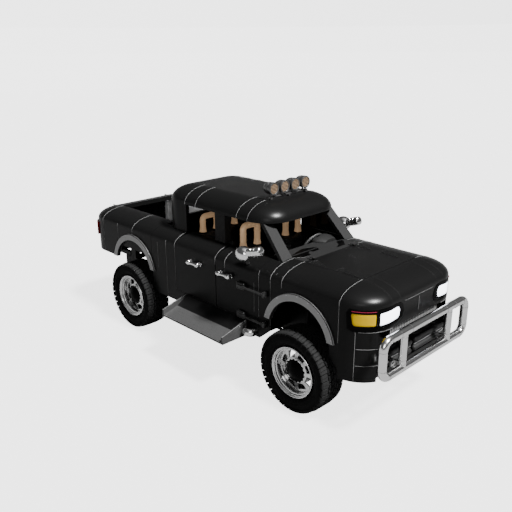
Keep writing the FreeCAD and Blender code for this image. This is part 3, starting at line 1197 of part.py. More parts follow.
def main():
    export("frame_rails", group([frame_rails()]))
    export("bed_mounts", mount_blocks())
    export("cab_floor", cab_floor())
    export("cab_quarters", cab_quarters())
    export("cab_back", cab_back())
    export("pillars", pillars())
    export("cab_roof", cab_roof())
    export("fenders", fenders())
    export("cowl", cowl())
    export("hood", hood())
    export("hood_hinges", hood_hinges())
    export("nose_panel", nose())
    export("grille", grille())
    export("headlamps", headlamps())
    export("turn_lamps", turn_lamps())
    export("front_bumper", front_bumper())
    export("rear_bumper", rear_bumper())
    export("bull_bar", bull_bar())
    export("bed", bed())
    export("tailgate", tailgate())
    export("tail_lamps", tail_lamps())
    export("arch_flares", arch_flares())
    export("side_steps", side_steps())
    export("rocker_skirts", rocker_skirts())
    export("roof_lamps", roof_lamps())
    export("exhaust", pair(exhaust()))
    export("dashboard", dashboard())
    export("steering_column", steering_column())
    export("steering_wheel", steering_wheel())
    export("seats_front", seats_front())
    export("seat_rear", seat_rear())
    export("seat_hoops", seat_hoops())
    export("engine", engine())
    export("driveline", driveline())
    export("fuel_tank", fuel_tank())
    export("axle_front", axle(AXLE_X, True))
    export("axle_rear", axle(-AXLE_X, False))
    export("suspension", suspension())
    export("hinge_brackets", hinge_brackets())
    export("tie_rod", tie_rod())
    for side, s in (("right", -1), ("left", 1)):
        turn = mirrored if s > 0 else (lambda shape: shape)
        export("door_front_" + side, turn(front_door()))
        export("door_rear_" + side, turn(rear_door()))
        export("fittings_front_" + side, turn(front_fittings()))
        export("fittings_rear_" + side, turn(rear_fittings()))
        export("knuckle_" + side, knuckle(s))
        for place, x in (("front", AXLE_X), ("rear", -AXLE_X)):
            export("tyre_%s_%s" % (place, side), tyre(x, s * WHEEL_Y))
            export("wheel_%s_%s" % (place, side), rim(x, s * WHEEL_Y, s))


main()
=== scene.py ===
"""Looks of the lifted off-road 4x4: paint, chrome, tyres, lamps, seats and the studio round it."""
import math

import bmesh
import bpy
from mathutils import Euler, Matrix, Vector


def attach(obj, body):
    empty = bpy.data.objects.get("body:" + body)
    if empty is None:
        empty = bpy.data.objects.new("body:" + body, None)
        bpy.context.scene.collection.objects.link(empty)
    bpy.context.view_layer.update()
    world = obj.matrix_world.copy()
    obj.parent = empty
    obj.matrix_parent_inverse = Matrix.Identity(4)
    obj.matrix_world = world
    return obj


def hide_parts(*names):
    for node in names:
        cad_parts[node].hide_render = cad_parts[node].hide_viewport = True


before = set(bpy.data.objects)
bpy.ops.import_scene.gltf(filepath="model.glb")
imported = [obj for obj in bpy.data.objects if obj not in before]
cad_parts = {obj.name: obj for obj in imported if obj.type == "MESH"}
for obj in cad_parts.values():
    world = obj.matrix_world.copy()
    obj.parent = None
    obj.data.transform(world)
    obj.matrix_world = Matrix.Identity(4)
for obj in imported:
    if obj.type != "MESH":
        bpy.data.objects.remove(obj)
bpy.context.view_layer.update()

# Sizes in metres, in the vehicle's own frame: + MID turns an X from mid wheelbase into one of the frame,
# and ROUND is how far in the body's shoulders and corners curve
MID = 0.0585
AXLE_X = 1.535
WHEEL_Y = 0.7965
TYRE_R = 0.470
TYRE_HALF = 0.1725
RIM_R = 0.2937
TREAD_PITCHES = 36
BODY_HALF = 0.850
SHOULDER_Z = 1.400
ROUND = 0.370
ROUND_RISE = 0.157
TOP_Z = SHOULDER_Z + ROUND_RISE
FLAT_Y = BODY_HALF - ROUND
NOSE_CX = 2.070 + MID
TAIL_CX = -2.320 + MID
ROOF_SPRING_Z = 1.905
ROOF_RISE = 0.197
ROOF_ROUND = 0.345
CAB_HALF = 0.655
ROOF_TOP_Z = ROOF_SPRING_Z + ROOF_RISE
BAR_X = 2.556 + MID
BAR_HALF = 0.776
BAR_LOW_Z = 0.731
BAR_TOP_Z = 1.131
BAR_R = 0.045
BAR_BEND = 0.098
FLARE_Z = 0.838
FLARE_OUTER_R = 0.507
FLARE_INNER_R = 0.417
FLARE_FOOT_Z = 0.945
BED_WALL_Y = 0.4795
BED_REAR_X = -2.600 + MID
BOARD_FRONT_X = 1.030 + MID
BOARD_TOP_Z = TOP_Z - 0.014
FLOOR_Z = 0.790
STEERING_AT = (0.665 + MID, 0.370, 1.400)
CUSHION_LOW_Z = 1.010
CUSHION_TOP_Z = 1.150
BACK_TOP_Z = 1.500
PAD_GAP = 0.022
ENGINE_REAR_X = 1.250 + MID
ENGINE_FRONT_X = 1.950 + MID
SIDES = (("right", -1), ("left", 1))


# Materials

def socket(group, name, kind, direction, value=None):
    """One named input or output of a shader group."""
    item = group.interface.new_socket(name=name, in_out=direction, socket_type=kind)
    if value is not None:
        item.default_value = value


def link(tree, a, b):
    """Join an output to an input."""
    tree.links.new(a, b)


def feed(tree, value, target):
    """Put a plain number, or another node's output, into an input."""
    if isinstance(value, (int, float)):
        target.default_value = value
    else:
        link(tree, value, target)


def math_node(tree, operation, a, b, clamp=False):
    """Result of one calculation with two numbers or outputs."""
    node = tree.nodes.new("ShaderNodeMath")
    node.operation = operation
    node.use_clamp = clamp
    for i, value in enumerate((a, b)):
        feed(tree, value, node.inputs[i])
    return node.outputs[0]


def noise_node(tree, vector, scale, detail=3.0, rough=0.5):
    """Cloudy pattern between 0 and 1."""
    node = tree.nodes.new("ShaderNodeTexNoise")
    feed(tree, scale, node.inputs["Scale"])
    node.inputs["Detail"].default_value = detail
    node.inputs["Roughness"].default_value = rough
    link(tree, vector, node.inputs["Vector"])
    return node.outputs["Fac"]


def ramp_node(tree, value, low, high):
    """Value stretched so that low becomes 0 and high becomes 1."""
    node = tree.nodes.new("ShaderNodeMapRange")
    node.inputs["From Min"].default_value = low
    node.inputs["From Max"].default_value = high
    link(tree, value, node.inputs["Value"])
    return node.outputs["Result"]


def new_group(name, inputs, outputs):
    """Shader group with its inputs and outputs, and the two nodes that stand for them."""
    group = bpy.data.node_groups.new(name, "ShaderNodeTree")
    for label, kind, value in inputs:
        socket(group, label, kind, "INPUT", value)
    for label, kind in outputs:
        socket(group, label, kind, "OUTPUT")
    return group, group.nodes.new("NodeGroupInput"), group.nodes.new("NodeGroupOutput")


FLOAT = "NodeSocketFloat"
COLOR = "NodeSocketColor"
VECTOR = "NodeSocketVector"


def make_finish_group():
    """Cloudy tint and roughness, with dust that gathers low down, over one base colour."""
    group, inp, out = new_group(
        "surface finish",
        [("Color", COLOR, (0.5, 0.5, 0.5, 1)), ("Roughness", FLOAT, 0.4), ("Variation", FLOAT, 0.1),
         ("Scale", FLOAT, 6.0), ("Dust", FLOAT, 0.0), ("Dust Top", FLOAT, 0.9)],
        [("Color", COLOR), ("Roughness", FLOAT)])
    coords = group.nodes.new("ShaderNodeTexCoord").outputs["Object"]
    clouds = noise_node(group, coords, inp.outputs["Scale"], 4.0)
    cloud = math_node(group, "SUBTRACT", clouds, 0.5)
    swing = math_node(group, "MULTIPLY", cloud, inp.outputs["Variation"])
    gain = math_node(group, "ADD", math_node(group, "MULTIPLY", swing, 1.6), 1.0)
    tint = group.nodes.new("ShaderNodeMix")
    tint.data_type = "RGBA"
    tint.blend_type = "MULTIPLY"
    tint.inputs["Factor"].default_value = 1.0
    grey = group.nodes.new("ShaderNodeCombineColor")
    for label in ("Red", "Green", "Blue"):
        link(group, gain, grey.inputs[label])
    link(group, inp.outputs["Color"], tint.inputs["A"])
    link(group, grey.outputs["Color"], tint.inputs["B"])
    split = group.nodes.new("ShaderNodeSeparateXYZ")
    link(group, coords, split.inputs["Vector"])
    height = group.nodes.new("ShaderNodeMapRange")
    height.inputs["From Max"].default_value = 0.0
    link(group, split.outputs["Z"], height.inputs["Value"])
    link(group, inp.outputs["Dust Top"], height.inputs["From Min"])
    speck = ramp_node(group, noise_node(group, coords, 38.0, 6.0, 0.65), 0.45, 0.75)
    dusty = math_node(group, "MULTIPLY", height.outputs["Result"], inp.outputs["Dust"])
    amount = math_node(group, "MULTIPLY", dusty, speck, clamp=True)
    coat = group.nodes.new("ShaderNodeMix")
    coat.data_type = "RGBA"
    coat.inputs["B"].default_value = (0.16, 0.14, 0.115, 1)
    link(group, amount, coat.inputs["Factor"])
    link(group, tint.outputs["Result"], coat.inputs["A"])
    link(group, coat.outputs["Result"], out.inputs["Color"])
    rough = math_node(group, "ADD", inp.outputs["Roughness"], swing)
    rough = math_node(group, "ADD", rough, math_node(group, "MULTIPLY", amount, 0.5), clamp=True)
    link(group, rough, out.inputs["Roughness"])
    return group


def make_grain_group():
    """Fine bumps of a set size, as on cast metal, moulded plastic, rubber or leather."""
    group, inp, out = new_group(
        "fine grain",
        [("Scale", FLOAT, 200.0), ("Strength", FLOAT, 0.1), ("Cells", FLOAT, 0.0)],
        [("Height", FLOAT)])
    coords = group.nodes.new("ShaderNodeTexCoord").outputs["Object"]
    bumps = noise_node(group, coords, inp.outputs["Scale"], 2.0)
    cells = group.nodes.new("ShaderNodeTexVoronoi")
    link(group, coords, cells.inputs["Vector"])
    link(group, inp.outputs["Scale"], cells.inputs["Scale"])
    spots = math_node(group, "MULTIPLY", cells.outputs["Distance"], inp.outputs["Cells"])
    total = math_node(group, "ADD", bumps, spots)
    link(group, math_node(group, "MULTIPLY", total, inp.outputs["Strength"]), out.inputs["Height"])
    return group


def make_brushed_group():
    """Streaks along one direction, for brushed metal and worn polish."""
    group, inp, out = new_group(
        "brushed streaks",
        [("Stretch", VECTOR, (1, 1, 1)), ("Roughness", FLOAT, 0.3), ("Depth", FLOAT, 0.1)],
        [("Roughness", FLOAT), ("Height", FLOAT)])
    coords = group.nodes.new("ShaderNodeTexCoord").outputs["Object"]
    scale = group.nodes.new("ShaderNodeVectorMath")
    scale.operation = "MULTIPLY"
    link(group, coords, scale.inputs[0])
    link(group, inp.outputs["Stretch"], scale.inputs[1])
    streak = noise_node(group, scale.outputs["Vector"], 1.0, 3.0, 0.6)
    swing = math_node(group, "MULTIPLY", math_node(group, "SUBTRACT", streak, 0.5), inp.outputs["Depth"])
    link(group, math_node(group, "ADD", inp.outputs["Roughness"], swing, clamp=True),
         out.inputs["Roughness"])
    link(group, streak, out.inputs["Height"])
    return group


FINISH = make_finish_group()
GRAIN = make_grain_group()
BRUSHED = make_brushed_group()


def rgb(value, green=None, blue=None):
    """Screen colour (0-255) as a linear one."""
    parts = (value, value if green is None else green, value if blue is None else blue)
    linear = []
    for part in parts:
        c = part / 255
        linear.append(c / 12.92 if c <= 0.04045 else ((c + 0.055) / 1.055) ** 2.4)
    return (*linear, 1.0)


def material(name, color, rough, metallic=0.0, specular=0.5, variation=0.08, scale=6.0, dust=0.0,
             grain=0.0, grain_scale=200.0, cells=0.0, coat=0.0, coat_rough=0.05, glow=0.0,
             brushed=None, depth=0.15, bump=0.0006):
    """One surface: tinted finish, with a fine grain or brushed streaks and a glow where asked for."""
    mat = bpy.data.materials.new(name)
    mat.use_nodes = True
    tree = mat.node_tree
    shader = tree.nodes["Principled BSDF"]
    finish = tree.nodes.new("ShaderNodeGroup")
    finish.node_tree = FINISH
    for label, value in (("Color", color), ("Roughness", rough), ("Variation", variation), ("Scale", scale),
                         ("Dust", dust)):
        finish.inputs[label].default_value = value
    link(tree, finish.outputs["Color"], shader.inputs["Base Color"])
    link(tree, finish.outputs["Roughness"], shader.inputs["Roughness"])
    shader.inputs["Metallic"].default_value = metallic
    shader.inputs["Specular IOR Level"].default_value = specular
    shader.inputs["Coat Weight"].default_value = coat
    shader.inputs["Coat Roughness"].default_value = coat_rough
    if glow:
        link(tree, finish.outputs["Color"], shader.inputs["Emission Color"])
        shader.inputs["Emission Strength"].default_value = glow
    height = None
    if grain:
        node = tree.nodes.new("ShaderNodeGroup")
        node.node_tree = GRAIN
        for label, value in (("Scale", grain_scale), ("Strength", grain), ("Cells", cells)):
            node.inputs[label].default_value = value
        height = node.outputs["Height"]
    if brushed:
        node = tree.nodes.new("ShaderNodeGroup")
        node.node_tree = BRUSHED
        for label, value in (("Stretch", brushed), ("Roughness", rough), ("Depth", depth)):
            node.inputs[label].default_value = value
        link(tree, node.outputs["Roughness"], shader.inputs["Roughness"])
        height = node.outputs["Height"]
    if height is not None:
        node = tree.nodes.new("ShaderNodeBump")
        node.inputs["Distance"].default_value = bump
        link(tree, height, node.inputs["Height"])
        link(tree, node.outputs["Normal"], shader.inputs["Normal"])
    return mat


PAINT = material("black paint", rgb(8), 0.31, specular=0.085, variation=0.05, scale=2.5,
                 grain=0.25, grain_scale=420.0, bump=0.0002)
ROOF_PAINT = material("roof paint", rgb(8), 0.31, specular=0.08, variation=0.06, scale=2.0,
                      grain=0.25, grain_scale=420.0, bump=0.0002)
TRIM = material("dark grey trim", rgb(17), 0.6, specular=0.12, grain=0.5, grain_scale=900.0, cells=0.6)
CHASSIS = material("chassis coat", rgb(16), 0.55, specular=0.15, variation=0.15, scale=9.0, dust=0.1,
                   grain=0.6, grain_scale=300.0)
CAST = material("cast iron", rgb(30), 0.65, specular=0.3, variation=0.2, scale=14.0, dust=0.15,
                grain=1.0, grain_scale=260.0, cells=0.5)
CHROME = material("polished chrome", rgb(225), 0.17, metallic=1.0, variation=0.10, scale=9.0,
                  brushed=(30, 30, 30), depth=0.05, bump=0.00002)
BRIGHT = material("rim chrome", rgb(200), 0.24, metallic=1.0, variation=0.10, scale=12.0,
                  brushed=(40, 40, 40), depth=0.08, bump=0.00003)
FLARE = material("brushed flare metal", rgb(120), 0.36, metallic=0.9, variation=0.1, scale=5.0,
                 brushed=(20, 700, 20), depth=0.22, bump=0.00005)
STEP = material("step plate", rgb(36), 0.55, metallic=0.2, variation=0.10, scale=8.0,
                brushed=(12, 380, 380), depth=0.2, bump=0.00006)
RUBBER = material("tyre rubber", rgb(10), 0.8, specular=0.06, variation=0.15, scale=16.0,
                  grain=0.3, grain_scale=340.0, cells=0.3)
TREAD = material("tread rubber", rgb(18), 0.85, specular=0.08, variation=0.2, scale=20.0,
                 grain=0.3, grain_scale=300.0, cells=0.3)
HUB = material("gloss black hub", rgb(2), 0.3, specular=0.03, variation=0.05, grain=0.2,
               grain_scale=500.0, bump=0.0001)
GROOVE = material("panel gap", rgb(78), 0.6, specular=0.2, grain=0.3, grain_scale=300.0)
AMBER = material("amber lens", (0.21, 0.135, 0.0, 1), 0.4, specular=0.03, variation=0.06, scale=22.0,
                 glow=0.6, grain=0.6, grain_scale=120.0, cells=1.0, bump=0.0008)
WHITE_LENS = material("clear lens", (0.86, 0.88, 0.96, 1), 0.12, variation=0.06, scale=16.0, coat=0.4,
                      glow=3.0, grain=0.5, grain_scale=90.0, cells=1.0, bump=0.0008)
RED_LENS = material("red lens", (0.12, 0.004, 0.004, 1), 0.2, variation=0.1, scale=22.0, coat=0.5,
                    grain=0.6, grain_scale=120.0, cells=1.0, bump=0.0008)
# Tan of the seat hoops and collars, with a glow (0.35) though it is no lamp: painted light that lifts them
# out of the cab's shade
GLOWING_TAN = material("tan frame with painted glow", rgb(186, 152, 116), 0.5, variation=0.08, scale=14.0, glow=0.35, grain=0.4,
               grain_scale=600.0, cells=0.4)
LEATHER = material("black leather", rgb(24), 0.48, specular=0.35, variation=0.1, scale=18.0,
                   grain=1.0, grain_scale=520.0, cells=1.4, bump=0.0009)
CARPET = material("floor carpet", rgb(30), 0.95, specular=0.1, variation=0.3, scale=60.0, grain=1.5,
                  grain_scale=1500.0, bump=0.002)
LAMP_METAL = material("lamp metal", rgb(88), 0.3, metallic=0.9, variation=0.15, scale=30.0,
                      brushed=(400, 60, 60), depth=0.15, bump=0.00004)
LAMP_FACE = material("slatted lamp glass", rgb(88, 72, 56), 0.4, variation=0.15, scale=40.0,
                     coat=0.1, grain=0.5, grain_scale=200.0, cells=1.0)
STEEL = material("zinc bolt", rgb(150), 0.35, metallic=1.0, variation=0.15, scale=60.0, grain=0.3,
                 grain_scale=900.0)
DARK_STEEL = material("blackened steel", rgb(13), 0.45, specular=0.4, variation=0.1, grain=0.4,
                      grain_scale=500.0)
MESH = material("vent mesh", rgb(2), 0.6, specular=0.03, variation=0.1, grain=0.4, grain_scale=700.0)
SPRING_COAT = material("spring coat", rgb(70, 72, 76), 0.45, specular=0.4, variation=0.1, scale=20.0,
                       dust=0.4, grain=0.4, grain_scale=500.0)
# Pale grey (205) of the bed's wall sheets: painted light, standing in for light that doesn't reach the bed's
# shaded inside
BED_LINER_PAINTED_LIGHT = material("bed liner pale with painted light", rgb(205), 0.85, specular=0.1, variation=0.12, scale=12.0, grain=0.8,
                     grain_scale=380.0, cells=0.5)
DARK_RED = material("dark red lens", rgb(88, 14, 34), 0.3, specular=0.2, variation=0.1, scale=22.0,
                    grain=0.5, grain_scale=120.0, cells=1.0)
# Grille rib caps: the rib's own grey, made lighter as painted light on fronts the key lamp hardly reaches
RIB_GREY_PAINTED_LIGHT = material("grille rib lightened with painted light", rgb(92), 0.5, specular=0.3, variation=0.08, grain=0.4, grain_scale=600.0)
TINT = material("dark window glass", rgb(7), 0.08, specular=0.15, variation=0.05, grain=0.05,
                grain_scale=40.0, bump=0.00005)
MIRROR = material("mirror glass", rgb(215), 0.03, metallic=1.0, variation=0.02, grain=0.05,
                  grain_scale=60.0, bump=0.00002)


# Mesh helpers

def finish_mesh(name, bm, mat, body, angle=35.0, slot=None, hides=()):
    """Turn a bmesh into a piece that rides on a body."""
    bmesh.ops.remove_doubles(bm, verts=bm.verts, dist=1e-6)
    bmesh.ops.recalc_face_normals(bm, faces=bm.faces)
    mesh = bpy.data.meshes.new(name)
    bm.to_mesh(mesh)
    bm.free()
    piece = bpy.data.objects.new(name, mesh)
    bpy.context.scene.collection.objects.link(piece)
    for one in (mat if isinstance(mat, (list, tuple)) else (mat,)):
        mesh.materials.append(one)
    mesh.shade_smooth()
    mesh.set_sharp_from_angle(angle=math.radians(angle))
    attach(piece, body)
    if hides:
        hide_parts(*hides)


def join_rings(bm, rings, index=0, closed=True):
    """Faces from each row of points to the next; a closed row joins its last point to its first."""
    for a, b in zip(rings, rings[1:]):
        for i in range(len(a) if closed else len(a) - 1):
            j = (i + 1) % len(a)
            bm.faces.new((a[i], a[j], b[j], b[i])).material_index = index


def add_box(bm, x0, x1, y0, y1, z0, z1, bevel=0.0, segments=2, index=0):
    """Box between two corners, with rounded edges where a bevel is given."""
    before = set(bm.faces)
    made = bmesh.ops.create_cube(bm, size=1.0)["verts"]
    for v in made:
        v.co = Vector((x0 + (v.co.x + 0.5) * (x1 - x0), y0 + (v.co.y + 0.5) * (y1 - y0),
                       z0 + (v.co.z + 0.5) * (z1 - z0)))
    if bevel:
        edges = list({e for v in made for e in v.link_edges})
        bmesh.ops.bevel(bm, geom=edges, offset=bevel, segments=segments, profile=0.6,
                        affect="EDGES", clamp_overlap=True)
    for face in set(bm.faces) - before:
        face.material_index = index


def add_side_box(bm, s, x0, x1, inner, outer, z0, z1, bevel=0.0, segments=2, index=0):
    """Box on one side of the vehicle, between two distances from its middle plane."""
    y0, y1 = sorted((s * inner, s * outer))
    add_box(bm, x0, x1, y0, y1, z0, z1, bevel, segments, index)


def add_lathe(bm, profile, steps, origin, axis="Y", index=0, closed=False):
    """Turn (radius, along) points about an axis through the origin."""
    rings = []
    for i in range(steps):
        a = 2 * math.pi * i / steps
        ring = []
        for r, t in profile:
            c, s = r * math.cos(a), r * math.sin(a)
            co = {"Y": (c, t, s), "X": (t, c, s), "Z": (c, s, t)}[axis]
            ring.append(bm.verts.new(Vector(origin) + Vector(co)))
        rings.append(ring)
    count = len(profile)
    last = count if closed else count - 1
    for i in range(steps):
        a, b = rings[i], rings[(i + 1) % steps]
        for j in range(last):
            k = (j + 1) % count
            if profile[j][0] < 1e-9 and profile[k][0] < 1e-9:
                continue
            if profile[j][0] < 1e-9:
                face = bm.faces.new((a[j], b[k], a[k]))
            elif profile[k][0] < 1e-9:
                face = bm.faces.new((a[j], b[j], a[k]))
            else:
                face = bm.faces.new((a[j], b[j], b[k], a[k]))
            face.material_index = index


def tube_frames(points, closed=False):
    """Directions and side vectors along a path, with no twist."""
    count = len(points)
    tangents = []
    for i in range(count):
        a = points[i - 1] if (i or closed) else points[i]
        b = points[(i + 1) % count] if (i < count - 1 or closed) else points[i]
        tangents.append((b - a).normalized())
    side = tangents[0].orthogonal().normalized()
    sides = []
    for t in tangents:
        side = (side - t * side.dot(t)).normalized()
        sides.append(side)
    return tangents, sides


def add_tube(bm, points, radius, steps=16, closed=False, index=0, flat=1.0):
    """Round bar along a path; radius may be a list with one value for each point."""
    points = [Vector(p) for p in points]
    radii = radius if isinstance(radius, (list, tuple)) else [radius] * len(points)
    tangents, sides = tube_frames(points, closed)
    rings = []
    for p, t, s, r in zip(points, tangents, sides, radii):
        u = t.cross(s)
        ring = []
        for i in range(steps):
            a = 2 * math.pi * i / steps
            ring.append(bm.verts.new(p + s * (r * math.cos(a)) + u * (r * flat * math.sin(a))))
        rings.append(ring)
    join_rings(bm, rings + rings[:1] if closed else rings, index)
    if not closed:
        for end in (rings[0], rings[-1]):
            bm.faces.new(end).material_index = index


def rounded_path(points, bend, steps=6):
    """Straight runs joined by arcs."""
    points = [Vector(p) for p in points]
    path = [points[0]]
    for before, corner, after in zip(points, points[1:], points[2:]):
        u = (before - corner).normalized()
        w = (after - corner).normalized()
        half = u.angle(w) / 2
        trim = bend / math.tan(half)
        centre = corner + (u + w).normalized() * (bend / math.sin(half))
        a = (corner + u * trim - centre).normalized()
        b = (corner + w * trim - centre).normalized()
        for i in range(steps + 1):
            path.append(centre + a.slerp(b, i / steps) * bend)
    path.append(points[-1])
    return path


def add_bolt(bm, at, normal, size=0.011, height=0.007, index=0):
    """Hexagon head with a chamfered top, standing on a surface."""
    turn = Vector(normal).normalized().to_track_quat("Z", "Y").to_matrix()
    rings = []
    for r, h in ((size, 0.0), (size, height * 0.75), (size * 0.82, height)):
        ring = []
        for i in range(6):
            a = i * math.pi / 3
            ring.append(bm.verts.new(Vector(at) + turn @ Vector((r * math.cos(a), r * math.sin(a), h))))
        rings.append(ring)
    join_rings(bm, rings, index)
    bm.faces.new(rings[-1]).material_index = index


def shoulder_arc(x, s, half, run, foot_z, rise, turn=90):
    """Points at one X up a rounded shoulder, from its foot through a turn in degrees."""
    points = []
    for i in range(15):
        a = math.radians(turn) * i / 14
        points.append(Vector((x, s * (half - run * (1 - math.cos(a))), foot_z + rise * math.sin(a))))
    return points


# Wheels

def wheel_centre(place, s):
    """Middle of a wheel, at the front or rear axle."""
    return Vector(((AXLE_X if place == "front" else -AXLE_X) + MID, s * WHEEL_Y, TYRE_R))


def tyre(place, side, s):
    """Tyre with rounded shoulders, ribbed sidewalls and blocky cross-country tread."""
    bm = bmesh.new()
    at = wheel_centre(place, s)
    base = TYRE_R - 0.016
    side_profile = [(RIM_R + 0.0004, 0.118), (RIM_R + 0.004, 0.127), (RIM_R + 0.016, 0.131),
                    (RIM_R + 0.020, 0.141), (RIM_R + 0.034, 0.153), (RIM_R + 0.060, 0.162),
                    (RIM_R + 0.074, 0.1655), (RIM_R + 0.076, 0.1675), (RIM_R + 0.082, 0.1675),
                    (RIM_R + 0.084, 0.1665), (base - 0.058, 0.166), (base - 0.030, 0.158),
                    (base - 0.008, 0.140), (base, 0.118), (base, 0.060)]
    profile = side_profile + [(base, 0.0)] + [(r, -y) for r, y in reversed(side_profile)]
    inner = [(RIM_R + 0.0004, -0.10), (RIM_R + 0.03, -0.13), (base - 0.03, -0.13), (base - 0.016, 0.0),
             (base - 0.03, 0.13), (RIM_R + 0.03, 0.13), (RIM_R + 0.0004, 0.10)]
    add_lathe(bm, profile + inner, 96, at, closed=True)
    pitch = 2 * math.pi / TREAD_PITCHES
    for i in range(TREAD_PITCHES):
        for row in (-1, 1):
            angle = pitch * (i + (0.25 if row > 0 else -0.25))
            add_shoulder_lug(bm, at, angle, pitch, row, base, i % 2)
            add_centre_lugs(bm, at, angle, pitch, row, base)
    finish_mesh("tyre_tread_%s_%s" % (place, side), bm, (RUBBER, TREAD), "wheel_%s_%s" % (place, side),
                slot="tyre_black", angle=28, hides=("tyre_%s_%s" % (place, side),))


def add_block(bm, at, corners, low, high):
    """Tread block from four (angle, y) corners, with its top slightly smaller than its foot."""
    centre = (sum(c[0] for c in corners) / 4, sum(c[1] for c in corners) / 4)
    rings = []
    for r, shrink in ((low, 1.0), (high - 0.0025, 0.98), (high, 0.93)):
        ring = []
        for angle, y in corners:
            a = centre[0] + (angle - centre[0]) * shrink
            t = centre[1] + (y - centre[1]) * shrink
            drop = max(0.0, abs(t) - 0.135) * 0.55
            ring.append(bm.verts.new(at + Vector(((r - drop) * math.sin(a), t, (r - drop) * math.cos(a)))))
        rings.append(ring)
    join_rings(bm, rings, index=1)
    bm.faces.new(rings[-1]).material_index = 1


def add_shoulder_lug(bm, at, angle, pitch, row, base, odd):
    """Big outer block, cut by a sipe, with a foot that runs down the sidewall."""
    w = pitch * 0.42
    inner = 0.082 if odd else 0.094
    skew = pitch * 0.10
    for a0, a1 in ((angle - w, angle - w * 0.06), (angle + w * 0.06, angle + w)):
        corners = [(a0 - skew, row * inner), (a1 - skew, row * inner),
                   (a1, row * 0.166), (a0, row * 0.166)]
        add_block(bm, at, corners, base - 0.012, TYRE_R - 0.0006)
    outer = row * (TYRE_HALF - 0.0008)
    foot_low, foot_top = base - (0.026 if odd else 0.016), TYRE_R - 0.022
    points = []
    for r, y, k in ((foot_low, row * 0.160, 0.75), (foot_low + 0.004, outer, 0.72),
                    (foot_top, outer, 0.95), (TYRE_R - 0.010, row * 0.160, 1.0),
                    (base - 0.020, row * 0.140, 1.0)):
        points.append([bm.verts.new(at + Vector((r * math.sin(angle + e * w * k), y,
                       r * math.cos(angle + e * w * k)))) for e in (-1, 1)])
    for i, b in enumerate(points):
        a = points[i - 1]
        bm.faces.new((a[0], a[1], b[1], b[0])).material_index = 1
    for e in (0, 1):
        bm.faces.new([p[e] for p in points]).material_index = 1


def add_centre_lugs(bm, at, angle, pitch, row, base):
    """Two staggered inner blocks for each pitch."""
    skew = pitch * 0.16
    for y0, y1, shift, width in ((0.044, 0.074, 0.30, 0.38), (0.006, 0.036, 0.0, 0.40)):
        a = angle + pitch * shift
        w = pitch * width
        corners = [(a - w - skew * 0.5, row * y0), (a + w - skew * 0.5, row * y0),
                   (a + w + skew * 0.5, row * y1), (a - w + skew * 0.5, row * y1)]
        add_block(bm, at, corners, base - 0.006, TYRE_R - 0.0006)


def rim(place, side, s):
    """Bright stepped rim with eight windows, and a black domed hub with its nuts."""
    bm = bmesh.new()
    at = wheel_centre(place, s)
    def y(depth):
        """Distance along the axle of a point this deep behind the rim's outer edge."""
        return s * (0.1515 - depth)
    outer = [(RIM_R - 0.001, y(0.050)), (RIM_R - 0.001, y(0.004)), (RIM_R - 0.004, y(0.0)),
             (RIM_R - 0.012, y(-0.001)), (RIM_R - 0.017, y(0.002)), (RIM_R - 0.020, y(0.008)),
             (RIM_R - 0.028, y(0.012)), (RIM_R - 0.031, y(0.018)), (RIM_R - 0.034, y(0.030)),
             (RIM_R - 0.044, y(0.034)), (RIM_R - 0.048, y(0.042)), (RIM_R - 0.050, y(0.060)),
             (RIM_R - 0.051, y(0.085)), (RIM_R - 0.030, y(0.120)), (RIM_R - 0.022, y(0.200)),
             (RIM_R - 0.022, y(0.285)), (RIM_R - 0.006, y(0.300)), (RIM_R - 0.001, y(0.300)),
             (RIM_R - 0.001, y(0.120))]
    add_lathe(bm, outer, 96, at, closed=True)
    add_spokes(bm, at, y)
    add_lathe(bm, [(0.126, y(0.100)), (0.127, y(0.062)), (0.124, y(0.056)), (0.114, y(0.052)),
                   (0.090, y(0.038)), (0.060, y(0.024)), (0.036, y(0.016)), (0.0, y(0.013))],
              64, at, index=1)
    for i in range(16):
        a = 2 * math.pi * (i + 0.5) / 16
        spot = at + Vector((0.128 * math.cos(a), y(0.066), 0.128 * math.sin(a)))
        add_bolt(bm, spot, (0, s, 0), 0.0095, 0.012, index=1)
    for r, depth in ((0.062, 0.026), (0.086, 0.045)):
        add_lathe(bm, [(r, y(depth + 0.004)), (r + 0.003, y(depth)),
                       (r + 0.006, y(depth + (0.006 if r < 0.07 else 0.007)))], 64, at, index=1)
    finish_mesh("rim_%s_%s" % (place, side), bm, (BRIGHT, HUB), "wheel_%s_%s" % (place, side),
                slot="bright_chrome", angle=32, hides=("wheel_%s_%s" % (place, side),))


def add_spokes(bm, at, y):
    """Dished disc between hub and barrel, cut by eight wedge windows."""
    radii = [0.118, 0.130, 0.142, 0.154, 0.190, 0.224, 0.2427]
    depth = [0.064, 0.063, 0.068, 0.074, 0.090, 0.094, 0.090]
    segments = 96
    thick = 0.016
    def open_at(i, j):
        """Whether this cell of the disc is in a window."""
        return 3 <= j < 5 and 2 <= i % 12 < 10
    grid = {}
    for back in (0, 1):
        for i in range(segments):
            a = 2 * math.pi * i / segments
            for j, (r, d) in enumerate(zip(radii, depth)):
                grid[back, i, j] = bm.verts.new(at + Vector((r * math.cos(a), y(d + thick * back),
                                                             r * math.sin(a))))
    def wall(a, b):
        """Face through the disc's thickness, between two points of its front."""
        bm.faces.new([grid[(0, *a)], grid[(0, *b)], grid[(1, *b)], grid[(1, *a)]])
    for i in range(segments):
        k = (i + 1) % segments
        for j in range(len(radii) - 1):
            if open_at(i, j):
                continue
            for back in (0, 1):
                bm.faces.new([grid[back, i, j], grid[back, k, j], grid[back, k, j + 1], grid[back, i, j + 1]])
            if open_at(k, j):
                wall((k, j), (k, j + 1))
            if open_at((i - 1) % segments, j):
                wall((i, j), (i, j + 1))
            if open_at(i, j + 1):
                wall((i, j + 1), (k, j + 1))
            if j and open_at(i, j - 1):
                wall((i, j), (k, j))


# Body lines and small parts

